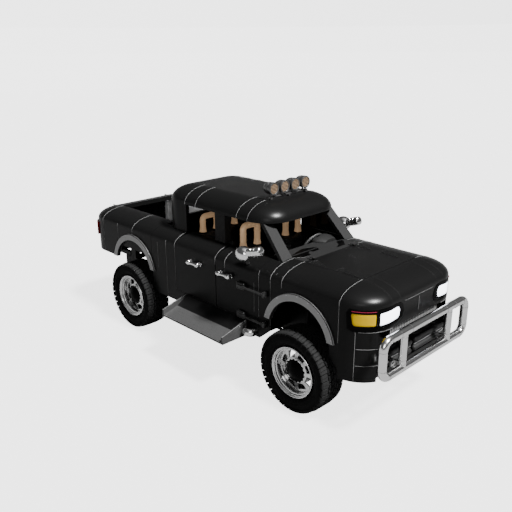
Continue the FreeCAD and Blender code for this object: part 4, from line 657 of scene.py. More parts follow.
def seam(name, body, points, width=0.0035, mat=GROOVE):
    """Thin raised bead along a panel joint."""
    bm = bmesh.new()
    add_tube(bm, points, width, 6)
    finish_mesh(name, bm, mat, body)


def side_line(label, body, side, s, x, low, turn):
    """Bead up one body side at X, carried over the shoulder by the turn in degrees (none for 0)."""
    x, half = x + MID, BODY_HALF + 0.0004
    points = [Vector((x, s * half, low))]
    if turn:
        points += shoulder_arc(x, s, half, ROUND, SHOULDER_Z, ROUND_RISE + 0.0004, turn)
    else:
        points.append(Vector((x, s * half, low + 0.35)))
    seam("seam_%s_%s" % (label, side), body, points, 0.0022)


def body_seams():
    """Joint lines over the sides and shoulders, on both sides of the body."""
    for side, s in SIDES:
        for label, x, low, turn in (
                ("tail", -2.300, 0.960, 90), ("bed_rear", -1.914, 1.185, 12),
                ("bed_middle", -1.545, 1.348, 90), ("quarter_a", -0.957, 1.020, 0),
                ("quarter_b", -0.774, 0.672, 12), ("quarter_c", -0.5855, 0.815, 62),
                ("wing", 0.9425, 0.905, 20), ("cowl_side", 1.123, 0.800, 90),
                ("cowl_front", 1.290, 1.350, 90), ("nose_side", 2.067, 0.980, 90)):
            side_line(label, "truck", side, s, x, low, turn)
        side_line("door_rear_edge", "door_rear_" + side, side, s, 0.2035, 1.345, 54)
        side_line("door_front_arc", "door_front_" + side, side, s, 0.375, 1.345, 48)
        side_line("door_front_line", "door_front_" + side, side, s, 0.868, 0.950, 0)


def roof_seams():
    """Four joint lines on each side of the cab, from the gutter up to the roof's flat top."""
    for label, x in (("rear_a", -0.590), ("rear_b", -0.380), ("front_a", 0.373), ("front_b", 0.558)):
        for side, s in SIDES:
            points = shoulder_arc(x + MID, s, CAB_HALF + 0.0004, ROOF_ROUND, ROOF_SPRING_Z,
                                  ROOF_RISE + 0.0004)
            seam("roof_seam_%s_%s" % (label, side), "truck", points, 0.0022)


# Corners of the four vents in the hood, as (x, y)
VENTS = (((1.335, -0.472), (1.365, -0.355), (1.625, -0.472)),
         ((1.712, -0.472), (1.705, -0.340), (2.000, -0.472)),
         ((1.335, 0.355), (1.318, 0.470), (1.570, 0.355)),
         ((1.697, 0.345), (1.685, 0.470), (1.945, 0.345)))


def hood_vents():
    """Triangular mesh panels let into the hood, each in a thin frame."""
    bm = bmesh.new()
    for corners in VENTS:
        points = [Vector((x + MID, y, TOP_Z + 0.0004)) for x, y in corners]
        low = [bm.verts.new(p) for p in points]
        high = [bm.verts.new(p + Vector((0, 0, 0.0006))) for p in points]
        bm.faces.new(high)
        join_rings(bm, (low, high))
        add_tube(bm, points + [points[0], points[1]], 0.0022, 6, index=2)
        for direction in (Vector((1, 0.55, 0)), Vector((1, -0.55, 0))):
            add_hatch(bm, points, direction.normalized(), 0.011)
    finish_mesh("hood_vents", bm, (MESH, TRIM, DARK_STEEL), "hood")


def add_hatch(bm, triangle, direction, pitch):
    """Parallel wires across a triangle."""
    across = Vector((-direction.y, direction.x, 0))
    spans = [p.dot(across) for p in triangle]
    value = min(spans) + pitch / 2
    while value < max(spans):
        hits = []
        for i in range(3):
            a, b = triangle[i], triangle[(i + 1) % 3]
            da, db = a.dot(across) - value, b.dot(across) - value
            if da * db < 0:
                hits.append(a.lerp(b, da / (da - db)))
        if len(hits) == 2 and (hits[0] - hits[1]).length > 0.004:
            lift = Vector((0, 0, 0.0012))
            add_tube(bm, [hits[0] + lift, hits[1] + lift], 0.0013, 4, index=1)
        value += pitch


# Lamps

def lamp_ring(bm, y, z, x_back, x_front, r):
    """One round roof lamp: ribbed housing, bezel and slatted face."""
    at = (0, y, z)
    housing = [(0.0, x_back), (r * 0.45, x_back + 0.002), (r * 0.72, x_back + 0.014),
               (r * 0.86, x_back + 0.036), (r * 0.90, x_back + 0.060), (r * 0.965, x_back + 0.062),
               (r * 0.965, x_back + 0.074), (r * 0.90, x_back + 0.076), (r * 0.91, x_back + 0.094),
               (r * 0.98, x_back + 0.096), (r, x_back + 0.102), (r, x_front - 0.003),
               (r * 0.975, x_front), (r * 0.84, x_front - 0.002), (r * 0.80, x_front - 0.006),
               (r * 0.79, x_front - 0.018)]
    add_lathe(bm, housing, 40, at, axis="X")
    add_lathe(bm, [(r * 0.795, x_front - 0.017), (r * 0.60, x_front - 0.014), (0.0, x_front - 0.013)],
              40, at, axis="X", index=1)
    for i in range(-3, 4):
        h = i * r * 0.215
        w = math.sqrt(max(0.0, (r * 0.78) ** 2 - h * h))
        add_box(bm, x_front - 0.013, x_front - 0.004, y - w, y + w, z + h - 0.0045, z + h + 0.0045,
                0.002, index=2)
    for s in (-1, 1):
        add_bolt(bm, (x_back + 0.068, y + s * r * 0.965, z), (0, s, 0), 0.008, 0.004, index=3)


def roof_lamps():
    """Four round lamps on a rail across the roof's front."""
    bm = bmesh.new()
    x = 0.588 + MID
    z = ROOF_TOP_Z + 0.128
    rail_z = ROOF_TOP_Z + 0.026
    add_tube(bm, [(x, -0.330, rail_z), (x, 0.330, rail_z)], 0.0115, 16, index=3)
    for y in (-0.300, 0.0, 0.300):
        add_box(bm, x - 0.020, x + 0.020, y - 0.014, y + 0.014, ROOF_TOP_Z + 0.0002, rail_z, 0.003, index=3)
    for y in (-0.272, -0.091, 0.091, 0.272):
        lamp_ring(bm, y, z, x - 0.110, x + 0.035, 0.076)
        for s in (-1, 1):
            add_box(bm, x - 0.012, x + 0.012, y + s * 0.026 - 0.004, y + s * 0.026 + 0.004,
                    rail_z, z - 0.066, 0.002, index=3)
        add_bolt(bm, (x, y, rail_z + 0.011), (0, 0, 1), 0.011, 0.007, index=3)
    finish_mesh("round_roof_lamps", bm, (LAMP_METAL, MESH, LAMP_FACE, LAMP_METAL), "truck",
                slot="bright_chrome", hides=("roof_lamps",))


def nose_point(u, z, out):
    """Point on the nose; u runs outwards round the corner from where the flat face ends."""
    if u <= 0:
        return Vector((NOSE_CX + ROUND + out, FLAT_Y + u, z))
    a = u / ROUND
    return Vector((NOSE_CX + (ROUND + out) * math.cos(a), FLAT_Y + (ROUND + out) * math.sin(a), z))


def round_outline(corners, steps=5):
    """Closed outline from (u, z, radius) corners."""
    outline = []
    count = len(corners)
    for i, (u, z, r) in enumerate(corners):
        corner = Vector((u, z))
        before = (Vector(corners[i - 1][:2]) - corner).normalized()
        after = (Vector(corners[(i + 1) % count][:2]) - corner).normalized()
        half = before.angle(after) / 2
        centre = corner + (before + after).normalized() * (r / math.sin(half))
        trim = r / math.tan(half)
        a, b = corner + before * trim - centre, corner + after * trim - centre
        start, turn = math.atan2(a.y, a.x), a.angle_signed(b)
        for k in range(steps + 1):
            angle = start - turn * k / steps
            outline.append(centre + Vector((math.cos(angle), math.sin(angle))) * r)
    dense = []
    for i, p in enumerate(outline):
        before = outline[i - 1]
        parts = max(1, math.ceil((p - before).length / 0.012))
        dense += [before.lerp(p, (k + 1) / parts) for k in range(parts)]
    return dense


def reach(outline, centre, angle):
    """Where a ray from the centre leaves the outline."""
    d = Vector((math.cos(angle), math.sin(angle)))
    best = None
    for i, b in enumerate(outline):
        a = outline[i - 1]
        edge = b - a
        cross = d.x * edge.y - d.y * edge.x
        if abs(cross) < 1e-12:
            continue
        w = a - centre
        t = (w.x * edge.y - w.y * edge.x) / cross
        k = (w.x * d.y - w.y * d.x) / cross
        if t > 0 and -1e-6 <= k <= 1 + 1e-6 and (best is None or t > best):
            best = t
    return centre + d * best


def nose_ring(bm, s, points, out):
    """Row of mesh points on the nose from flat (u, z) ones, on one side of the vehicle."""
    spots = [nose_point(p.x, p.y, out) for p in points]
    return [bm.verts.new((at.x, s * at.y, at.z)) for at in spots]


def lamp_plate(bm, s, hole, outer):
    """Black plate round one lens, following the nose, with a stepped inner edge."""
    centre = sum(hole, Vector((0, 0))) / len(hole)
    rims = list(hole) + list(outer)
    angles = sorted({round(math.atan2(p.y - centre.y, p.x - centre.x), 5) for p in rims})
    rays = [(reach(hole, centre, angle), reach(outer, centre, angle)) for angle in angles]
    rings = []
    for share, out in ((0.0, 0.0004), (0.0, 0.0050), (0.10, 0.0062), (0.5, 0.0050), (0.92, 0.0034),
                       (1.0, 0.0004)):
        rings.append(nose_ring(bm, s, [a.lerp(b, share) for a, b in rays], out))
    join_rings(bm, rings)


def lens_dome(bm, s, hole, rise):
    """Slightly domed glass that fills one lens opening."""
    centre = sum(hole, Vector((0, 0))) / len(hole)
    rings = []
    for share, lift in ((1.0, 0.0006), (0.97, rise * 0.55), (0.86, rise * 0.85), (0.60, rise), (0.25, rise)):
        rings.append(nose_ring(bm, s, [centre.lerp(p, share) for p in hole], lift))
    join_rings(bm, rings)
    bm.faces.new(rings[-1])


# Outlines round the nose's corner, as (u, z): lenses with corner radii, and the plates round them
CLEAR_LENS = ((0.160, 1.209, 0.012), (0.160, 1.338, 0.012), (-0.126, 1.356, 0.052),
              (-0.126, 1.228, 0.052))
CLEAR_EYE = ((0.178, 1.150), (0.178, 1.386), (-0.060, 1.392), (-0.140, 1.388), (-0.194, 1.345),
             (-0.216, 1.272), (-0.196, 1.212), (-0.090, 1.168))
TURN_LENS = ((0.430, 1.207, 0.030), (0.452, 1.338, 0.020), (0.200, 1.336, 0.016), (0.200, 1.209, 0.020))
TURN_EYE = ((0.490, 1.166), (0.505, 1.336), (0.470, 1.386), (0.178, 1.386), (0.178, 1.146),
            (0.300, 1.142), (0.430, 1.144))


def lamp_surrounds():
    """Rounded corner lenses in their black surrounds, with a dark red bead over each pair."""
    for side, s in SIDES:
        clear, turn = round_outline(CLEAR_LENS), round_outline(TURN_LENS)
        bm = bmesh.new()
        lamp_plate(bm, s, clear, [Vector(p) for p in CLEAR_EYE])
        lamp_plate(bm, s, turn, [Vector(p) for p in TURN_EYE])
        path = [nose_point(0.205 + 0.024 * i, 1.360, 0.0058) for i in range(11)]
        add_tube(bm, [(p.x, s * p.y, p.z) for p in path], 0.0085, 8, index=1, flat=0.5)
        finish_mesh("lamp_bezel_" + side, bm, (HUB, DARK_RED), "truck")
        for name, hole, rise, mat, slot in (("turn_lens_", turn, 0.0040, AMBER, "lamp_amber"),
                                            ("headlamp_lens_", clear, 0.0045, WHITE_LENS, "lamp_white")):
            bm = bmesh.new()
            lens_dome(bm, s, hole, rise)
            finish_mesh(name + side, bm, mat, "truck", slot=slot)


def small_front_lamps():
    """Two round lamps at the feet of the bull bar's posts."""
    for side, s in SIDES:
        bm = bmesh.new()
        at = (2.452 + MID, s * 0.450, 0.750)
        add_lathe(bm, [(0.0, -0.040), (0.022, -0.036), (0.033, -0.018), (0.037, 0.010), (0.0365, 0.016),
                       (0.033, 0.018), (0.031, 0.012)], 32, at, axis="X")
        add_lathe(bm, [(0.0312, 0.012), (0.020, 0.017), (0.0, 0.019)], 32, at, axis="X", index=1)
        finish_mesh("bumper_lamp_" + side, bm, (STEEL, MIRROR), "truck")


def recess_bars():
    """Two fat rubber-faced bars on each side of the bumper's recess, and the line between them."""
    bm = bmesh.new()
    x = 2.392 + MID
    for s in (-1, 1):
        for z in (0.8215, 0.7255):
            capsule(bm, (x, s * 0.022, z), (x, s * 0.622, z), 0.0325, steps=24)
        add_tube(bm, [(x + 0.010, s * 0.030, 0.7735), (x + 0.010, s * 0.612, 0.7735)], 0.0030, 8, index=1)
        for y in (0.120, 0.520):
            add_side_box(bm, s, x - 0.064, x - 0.020, y - 0.020, y + 0.020, 0.700, 0.845, 0.006, index=2)
    finish_mesh("recess_bars", bm, (TRIM, GROOVE, DARK_STEEL), "truck", slot="trim_dark")


def grille_ribs():
    """Caps on the grille's upright ribs, their grey lightened with painted light, with black strips of
    painted shade down between them.
    """
    bm = bmesh.new()
    count, half, face = 30, 0.447, 2.398 + MID
    low, top = 1.0285, 1.1435
    pitch = 2 * half / count
    for i in range(count):
        y = -half + pitch * (i + 0.5)
        # Rib cap: the rib's grey, lightened with painted light
        add_box(bm, face + 0.0002, face + 0.0042, y - 0.0078, y + 0.0078, low, top, 0.0018)
        if i:
            y -= pitch / 2
            # Black strip down the gap between two ribs: painted shade
            add_box(bm, face - 0.0020, face + 0.0012, y - 0.0068, y + 0.0068, low, top, 0.0008, index=1)
    finish_mesh("grille_ribs", bm, (RIB_GREY_PAINTED_LIGHT, HUB), "truck")


def cowl_dark_patches():
    """Ragged-edged black patches: two laid on the cowl, one on the top of the dashboard."""
    on_cowl = (((1.070, -0.470), (1.070, -0.002), (1.128, -0.052), (1.129, -0.145), (1.082, -0.162),
                (1.133, -0.238), (1.192, -0.254), (1.189, -0.355), (1.120, -0.474)),
               ((1.120, 0.414), (1.220, 0.318), (1.220, 0.150), (1.154, 0.274), (1.070, 0.335),
                (1.070, 0.440)))
    on_board = ((1.024, -0.430), (0.926, -0.116), (1.000, 0.045), (1.024, 0.030))
    shapes = [[Vector((x + MID, y, TOP_Z)) for x, y in shape] for shape in on_cowl]
    shapes.append([Vector((x + MID, y, BOARD_TOP_Z - 0.04 * (BOARD_FRONT_X - x - MID))) for x, y in on_board])
    bm = bmesh.new()
    for points in shapes:
        low = [bm.verts.new(p + Vector((0, 0, 0.0003))) for p in points]
        high = [bm.verts.new(p + Vector((0, 0, 0.0009))) for p in points]
        bm.faces.new(high)
        join_rings(bm, (low, high))
        add_tube(bm, [p + Vector((0, 0, 0.0006)) for p in points], 0.0014, 6, closed=True, index=1)
    finish_mesh("cowl_dark_patches", bm, (HUB, DARK_STEEL), "truck")


# Door fittings

def capsule(bm, a, b, r, steps=20, ball=0.7):
    """Bar with rounded ends."""
    ends = (Vector(a), -1), (Vector(b), 1)
    d = (ends[1][0] - ends[0][0]).normalized()
    points, radii = [], []
    for end, sign in ends:
        part = []
        for i in range(6):
            a = math.pi / 2 * i / 5
            part.append((end + d * (sign * (math.sin(a) - 1) * r * ball), max(r * math.cos(a), r * 0.05)))
        if sign < 0:
            part.reverse()
        points += [p for p, _ in part]
        radii += [q for _, q in part]
    add_tube(bm, points, radii, steps)


def add_handle(bm, x, s):
    """Chrome grab handle with fat ends, on two feet with round pads."""
    y = s * (BODY_HALF + 0.044)
    z = 1.275
    half = 0.1175
    capsule(bm, (x - half, y, z), (x - half + 0.070, y, z), 0.033)
    capsule(bm, (x + half - 0.070, y, z), (x + half, y, z), 0.033)
    waist = [(x - half + 0.050, 0.028), (x - half + 0.080, 0.0225), (x, 0.0205),
             (x + half - 0.080, 0.0225), (x + half - 0.050, 0.028)]
    add_tube(bm, [(a, y, z) for a, _ in waist], [r for _, r in waist], 20)
    for e in (-1, 1):
        foot = x + e * (half - 0.0325)
        add_tube(bm, [(foot, s * BODY_HALF, z), (foot, y, z)], [0.0175, 0.012], 16)
        add_lathe(bm, [(0.0, 0.0), (0.025, 0.0), (0.025, s * 0.002), (0.018, s * 0.005), (0.0, s * 0.005)],
                  24, (foot, s * BODY_HALF, z))


def add_mirror(bm, s):
    """Round chrome mirror on a short stem, with the tube arm ahead of it."""
    x, y, z = 0.744 + MID, s * 0.885, 1.617
    shell = [(0.0, -0.100), (0.034, -0.1005), (0.044, -0.0965)]
    for i in range(3, 17):
        a = math.pi * i / 16
        shell.append((0.088 * math.sin(a), -0.105 * math.cos(a)))
    add_lathe(bm, shell, 40, (x, y, z), axis="X")
    add_lathe(bm, [(0.0, -0.1003), (0.030, -0.1015), (0.034, -0.0995)], 40, (x, y, z), axis="X", index=1)
    start = Vector((x + 0.060, y, z + 0.016))
    end = Vector((x + 0.270, y - s * 0.018, z + 0.088))
    capsule(bm, start, end, 0.053, steps=32, ball=0.35)
    d = (end - start).normalized()
    for t in (0.42, 0.62):
        p = start.lerp(end, t)
        add_tube(bm, [p - d * 0.005, p - d * 0.004, p + d * 0.004, p + d * 0.005],
                 [0.0530, 0.0545, 0.0545, 0.0530], 32)
    stem = [(x - 0.010, s * 0.8100, z - 0.135), (x - 0.010, s * 0.826, z - 0.100),
            (x - 0.006, s * 0.850, z - 0.055)]
    add_tube(bm, stem, [0.020, 0.017, 0.019], 20, index=2)


def add_straps(bm, s):
    """Two long strap hinges with their eyes, pads and bolts."""
    hinge_x, pin_y = 1.057 + MID, BODY_HALF + 0.040
    x0, x1 = 0.607 + MID, 0.732 + MID
    for z in (1.212, 0.855):
        path = rounded_path([(hinge_x - 0.015, s * pin_y, z), (hinge_x - 0.330, s * pin_y, z)], 0.01)
        add_tube(bm, path, 0.0125, 12, index=2, flat=0.62)
        add_lathe(bm, [(0.0095, -0.018), (0.020, -0.018), (0.0215, -0.012), (0.0215, 0.012),
                       (0.020, 0.018), (0.0095, 0.018)], 32, (hinge_x, s * pin_y, z), axis="Z",
                  index=2, closed=True)
        add_side_box(bm, s, x0, x1, BODY_HALF + 0.0002, BODY_HALF + 0.036, z - 0.040, z + 0.040, 0.008, 3,
                     index=2)
        add_side_box(bm, s, x0 + 0.012, x1 + 0.02, BODY_HALF + 0.028, BODY_HALF + 0.0475,
                     z - 0.016, z + 0.016, 0.004, index=2)
        for dx in (0.022, 0.062, 0.103):
            for dz in (-0.026, 0.026):
                add_bolt(bm, (x0 + dx, s * (BODY_HALF + 0.0355), z + dz), (0, s, 0), 0.0085, 0.006, index=2)


def door_fittings():
    """Handles, mirrors, hinges and inner panels of the four doors."""
    for side, s in SIDES:
        bm = bmesh.new()
        add_handle(bm, 0.398 + MID, s)
        add_mirror(bm, s)
        add_straps(bm, s)
        finish_mesh("door_metalwork_front_" + side, bm, (CHROME, MIRROR, DARK_STEEL),
                    "door_front_" + side, slot="bright_chrome", hides=("fittings_front_" + side,))
        bm = bmesh.new()
        add_handle(bm, -0.165 + MID, s)
        finish_mesh("door_metalwork_rear_" + side, bm, CHROME, "door_rear_" + side,
                    slot="bright_chrome", hides=("fittings_rear_" + side,))
        for place, x0, x1 in (("front", 0.232, 0.918), ("rear", -0.545, 0.150)):
            door_trim(place, side, s, x0 + MID, x1 + MID)


def door_trim(place, side, s, x0, x1):
    """Inner door panel: padded field, armrest, pull handle and pocket."""
    bm = bmesh.new()
    face = BODY_HALF - 0.080
    for a, b, near, far, z0, z1, bevel, index in (
            (x0, x1, 0.0, 0.008, 0.850, 1.330, 0.006, 0),
            (x0 + 0.06, x1 - 0.10, 0.006, 0.014, 1.120, 1.290, 0.006, 1),
            (x0 + 0.10, x1 - 0.16, 0.006, 0.052, 1.055, 1.095, 0.014, 1),
            (x0 + 0.08, x1 - 0.14, 0.006, 0.030, 0.880, 0.990, 0.010, 0)):
        add_side_box(bm, s, a, b, face - near, face - far, z0, z1, bevel, 3, index)
    mid = (x0 + x1) / 2
    y = s * (face - 0.030)
    grip = rounded_path([(mid - 0.10, s * (face - 0.010), 1.215), (mid - 0.09, y, 1.215),
                         (mid + 0.09, y, 1.215), (mid + 0.10, s * (face - 0.010), 1.215)], 0.008)
    add_tube(bm, grip, 0.009, 12, index=2)
    finish_mesh("door_trim_%s_%s" % (place, side), bm, (TRIM, LEATHER, CHROME),
                "door_%s_%s" % (place, side), slot="trim_dark")


def left_panes():
    """Dark glass in the left windows, each pane with a thin rubber edge."""
    y = 0.641
    for label, outline in (
            ("front", ((0.232, 1.530), (1.120, 1.530), (0.698, 1.902), (0.232, 1.902))),
            ("rear", ((-0.545, 1.530), (0.160, 1.530), (0.160, 1.902), (-0.545, 1.902)))):
        bm = bmesh.new()
        rings = []
        mx, mz = (sum(x for x, _ in outline) / 4, sum(z for _, z in outline) / 4)
        for offset, share in ((0.0020, 0.90), (0.0022, 0.997), (0.0, 1.0), (-0.0022, 0.997), (-0.0020, 0.90)):
            rings.append([bm.verts.new((mx + (x - mx) * share + MID, y + offset, mz + (z - mz) * share))
                          for x, z in outline])
        join_rings(bm, rings)
        bm.faces.new(rings[0])
        bm.faces.new(rings[-1])
        add_tube(bm, [(x + MID, y, z) for x, z in outline], 0.0034, 8, closed=True, index=1)
        finish_mesh("window_glass_%s_left" % label, bm, (TINT, RUBBER), "truck")


# Running gear

def springs_and_links():
    """Coil springs on seats, with bump rubbers inside, and the trailing links."""
    bm = bmesh.new()
    for x, inboard in ((AXLE_X + MID, -1), (-AXLE_X + MID, 1)):
        for s in (-1, 1):
            add_spring(bm, x, s)
            add_link(bm, x, s, inboard)
    finish_mesh("coil_springs", bm, (CHASSIS, SPRING_COAT, RUBBER), "truck", slot="chassis_black",
                hides=("suspension",))


def add_spring(bm, x, s):
    """One coil spring between its two seats, with the bump rubber inside."""
    y, seat_z, top_z = s * 0.490, 0.518, 0.725
    turns, steps = 6, 24
    path = []
    for i in range(turns * steps + 1):
        a = 2 * math.pi * i / steps
        z = seat_z + 0.014 + (top_z - seat_z - 0.028) * i / (turns * steps)
        path.append((x + 0.044 * math.cos(a), y + 0.044 * math.sin(a) * s, z))
    add_tube(bm, path, 0.0088, 10, index=1)
    for z in (seat_z, top_z - 0.010):
        add_lathe(bm, [(0.0, 0.0), (0.054, 0.0), (0.054, 0.010), (0.0, 0.010)], 32, (x, y, z), axis="Z")
    add_lathe(bm, [(0.0, 0.0), (0.020, 0.0), (0.026, 0.02), (0.020, 0.035), (0.026, 0.05), (0.020, 0.07),
                   (0.012, 0.080), (0.0, 0.082)], 24, (x, y, seat_z + 0.010), axis="Z", index=2)


def add_link(bm, x, s, inboard):
    """One trailing link from the axle to the frame, with rubber bushes and its bracket."""
    start = Vector((x + inboard * 0.050, s * 0.395, TYRE_R + 0.004))
    end = Vector((x + inboard * 0.760, s * 0.395, 0.586))
    d = (end - start).normalized()
    add_tube(bm, [start, start + d * 0.05, start + d * 0.06, end - d * 0.06, end - d * 0.05, end],
             [0.0215, 0.0215, 0.018, 0.018, 0.0215, 0.0215], 20)
    for p in (start + d * 0.012, end):
        add_lathe(bm, [(0.012, -0.021), (0.0215, -0.021), (0.0215, 0.021), (0.012, 0.021)], 24, p,
                  closed=True, index=2)
    add_box(bm, end.x - 0.025, end.x + 0.025, end.y - 0.022, end.y + 0.022, 0.567, 0.6118, 0.004)


def axle_details():
    """Cover bolts on the gear cases, and drilled brake discs."""
    bm = bmesh.new()
    for x, face in ((AXLE_X + MID, 1), (-AXLE_X + MID, -1)):
        for i in range(10):
            a = 2 * math.pi * i / 10
            spot = (x + face * 0.098, -0.090 + 0.078 * math.cos(a), TYRE_R + 0.078 * math.sin(a))
            add_bolt(bm, spot, (face, 0, 0), 0.009, 0.018)
    finish_mesh("gear_case_bolts", bm, STEEL, "truck")
    for place in ("front", "rear"):
        for side, s in SIDES:
            bm = bmesh.new()
            at = wheel_centre(place, s)
            add_lathe(bm, [(0.080, -0.012), (0.165, -0.012), (0.167, -0.009), (0.167, 0.009),
                           (0.165, 0.012), (0.080, 0.012)], 64, at - Vector((0, s * 0.012, 0)), closed=True)
            for i in range(24):
                a = 2 * math.pi * (i + 0.5 * (i % 2)) / 24
                r = 0.118 + 0.014 * (i % 3)
                spot = at + Vector((r * math.cos(a), s * 0.0002, r * math.sin(a)))
                add_bolt(bm, spot, (0, s, 0), 0.004, 0.0008, index=1)
            finish_mesh("brake_disc_%s_%s" % (place, side), bm, (STEEL, CAST), "wheel_%s_%s" % (place, side))


def bull_bar_bands():
    """Thin weld rings round the bull bar's joints."""
    bm = bmesh.new()
    def band(y, z, axis, radius=BAR_R):
        """One ring round the bar at this place."""
        at, axis = Vector((BAR_X, y, z)), Vector(axis)
        side = axis.orthogonal().normalized()
        up = axis.cross(side)
        path = []
        for i in range(32):
            a = 2 * math.pi * i / 32
            path.append(at + side * (radius * math.cos(a)) + up * (radius * math.sin(a)))
        add_tube(bm, path, 0.0018, 6, closed=True)
    along_y, along_z = (0, 1, 0), (0, 0, 1)
    for s in (-1, 1):
        for z in (BAR_LOW_Z + BAR_BEND, BAR_TOP_Z - BAR_BEND):
            band(s * BAR_HALF, z, along_z)
        for y in (BAR_HALF - BAR_BEND, 0.520, 0.335):
            band(s * y, BAR_TOP_Z, along_y)
        band(s * (BAR_HALF - BAR_BEND), BAR_LOW_Z, along_y)
        for z in (BAR_LOW_Z + 0.050, BAR_LOW_Z + 0.095, BAR_TOP_Z - 0.050):
            band(s * 0.429, z, along_z, BAR_R * 0.92)
    finish_mesh("bull_bar_bands", bm, LAMP_METAL, "truck")


# Body fittings

def flare_arc(x, y, r, radius, inset, count):
    """Points over the arch at a radius, from foot to foot of the arc r, less an inset angle at each end."""
    start = math.asin((FLARE_FOOT_Z - FLARE_Z) / r) + inset
    points = []
    for i in range(count + 1):
        a = start + (math.pi - 2 * start) * i / count
        points.append((x + radius * math.cos(a), y, FLARE_Z + radius * math.sin(a)))
    return points


def flare_trim():
    """Rubber lips along each flare's two edges, with a row of bolts on its face."""
    for label, x in (("front", AXLE_X + MID), ("rear", -AXLE_X + MID)):
        for side, s in SIDES:
            bm = bmesh.new()
            y = s * (BODY_HALF + 0.024)
            for r, radius in ((FLARE_OUTER_R, FLARE_OUTER_R - 0.003), (FLARE_INNER_R, FLARE_INNER_R + 0.003)):
                add_tube(bm, flare_arc(x, y - s * 0.003, r, radius, 0.0, 40), 0.0045, 8)
            for spot in flare_arc(x, y, FLARE_OUTER_R, 0.490, 0.10, 8):
                add_bolt(bm, spot, (0, s, 0), 0.0075, 0.0045, index=1)
            finish_mesh("flare_trim_%s_%s" % (label, side), bm, (RUBBER, STEEL), "truck")


def step_grips():
    """Raised treads along the sloping step plates."""
    x0, x1 = -0.366 + MID, 0.716 + MID
    low, high = Vector((0, 1.225, 0.634)), Vector((0, 1.008, 0.694))
    run = high - low
    lift = Vector((0, -run.z, run.y)).normalized() * 0.0012
    for side, s in SIDES:
        bm = bmesh.new()
        for row in range(5):
            p = low + run * (0.14 + 0.18 * row) + lift
            for i in range(12):
                x = x0 + 0.05 + (x1 - x0 - 0.10) * (i + 0.12 + 0.5 * (row % 2)) / 12.6
                capsule(bm, (x, s * p.y, p.z), (x + 0.052, s * p.y, p.z), 0.0026, steps=8)
        add_tube(bm, [(x0, s * 1.2215, 0.6335), (x1, s * 1.2215, 0.6335)], 0.0032, 8, index=1)
        for x in (x0 - 0.013, x1 + 0.013):
            edge = [(x, s * 0.8535, 0.7965), (x, s * 1.2210, 0.6985), (x, s * 1.2210, 0.6160)]
            add_tube(bm, edge, 0.0038, 8, index=1)
        finish_mesh("step_grips_" + side, bm, (STEP, STEEL), "truck", slot="step_grey")


def bumper_seams():
    """Light joint lines between the bumper's bands, following its corners."""
    def corner(s, degrees, out, z):
        """Point on the bumper's rounded corner."""
        a, r = math.radians(degrees), ROUND + out
        return NOSE_CX + r * math.cos(a), s * (FLAT_Y + r * math.sin(a)), z
    for side, s in SIDES:
        for label, z in (("low", 0.7753), ("high", 0.9587)):
            points = [corner(s, degrees, -0.001, z) for degrees in range(0, 61, 4)]
            seam("bumper_seam_%s_%s" % (label, side), "truck", points, 0.0026)
        points = [corner(s, 62, 0.0002, z) for z in (0.594, 1.141)]
        seam("bumper_end_" + side, "truck", points, 0.0028)
        edge = [nose_point(u, 1.1425, 0.0002) for u in [-0.030] + [0.012 + 0.03 * i for i in range(13)]]
        seam("bumper_top_" + side, "truck", [(p.x, s * p.y, p.z) for p in edge], 0.0024)


def nose_lines():
    """Fine lines where the nose's middle panel meets its corners."""
    for side, s in SIDES:
        for label, y in (("outer", 0.480), ("inner", 0.340)):
            points = []
            for i in range(13):
                a = math.pi / 2 * i / 12
                z = SHOULDER_Z + ROUND_RISE * math.cos(a) + 0.0002
                points.append((NOSE_CX + ROUND * math.sin(a), s * y, z))
            seam("nose_line_%s_%s" % (label, side), "truck", points, 0.0016, TRIM)
    bm = bmesh.new()
    x = NOSE_CX + ROUND - 0.002
    add_tube(bm, [(x, 0, 1.195), (x, 0, 1.356)], 0.0032, 6)
    add_tube(bm, [(x, -0.262, 1.376), (x, 0.262, 1.376)], 0.0028, 6)
    finish_mesh("nose_middle_line", bm, GROOVE, "truck")


def bed_lining():
    """Ribbed floor, wall sheets pale with painted light, tie-down loops and a stitched seam in the load bed.
    """
    bed_floor_ribs()
    bed_wall_painted_light()
    bed_tie_downs()
    bed_wall_seam()


def bed_floor_ribs():
    """Eleven wide ribs along the bed's floor."""
    bm = bmesh.new()
    for i in range(11):
        y = -0.44 + 0.088 * i
        add_box(bm, BED_REAR_X, -1.160 + MID, y - 0.028, y + 0.028, 0.9602, 0.968, 0.0035)
    finish_mesh("bed_floor_ribs", bm, CHASSIS, "truck")


def bed_wall_painted_light():
    """Sheets on the bed's side walls and front wall, with upright beads on the sides, pale with painted light
    where the bed's inside lies in shade.
    """
    bm = bmesh.new()
    for s in (-1, 1):
        add_side_box(bm, s, BED_REAR_X, -1.1430 + MID, 0.4782, 0.4798, 0.970, 1.532, 0.0006)
        for i in range(8):
            x = -2.52 + MID + 0.18 * i
            add_tube(bm, [(x, s * 0.4785, 0.985), (x, s * 0.4785, 1.515)], 0.0045, 8)
    add_box(bm, -1.1428 + MID, -1.1412 + MID, -0.4775, 0.4775, 0.970, 1.532, 0.0006)
    # The sheets' pale colour is painted light
    finish_mesh("bed_wall_painted_light", bm, BED_LINER_PAINTED_LIGHT, "truck")


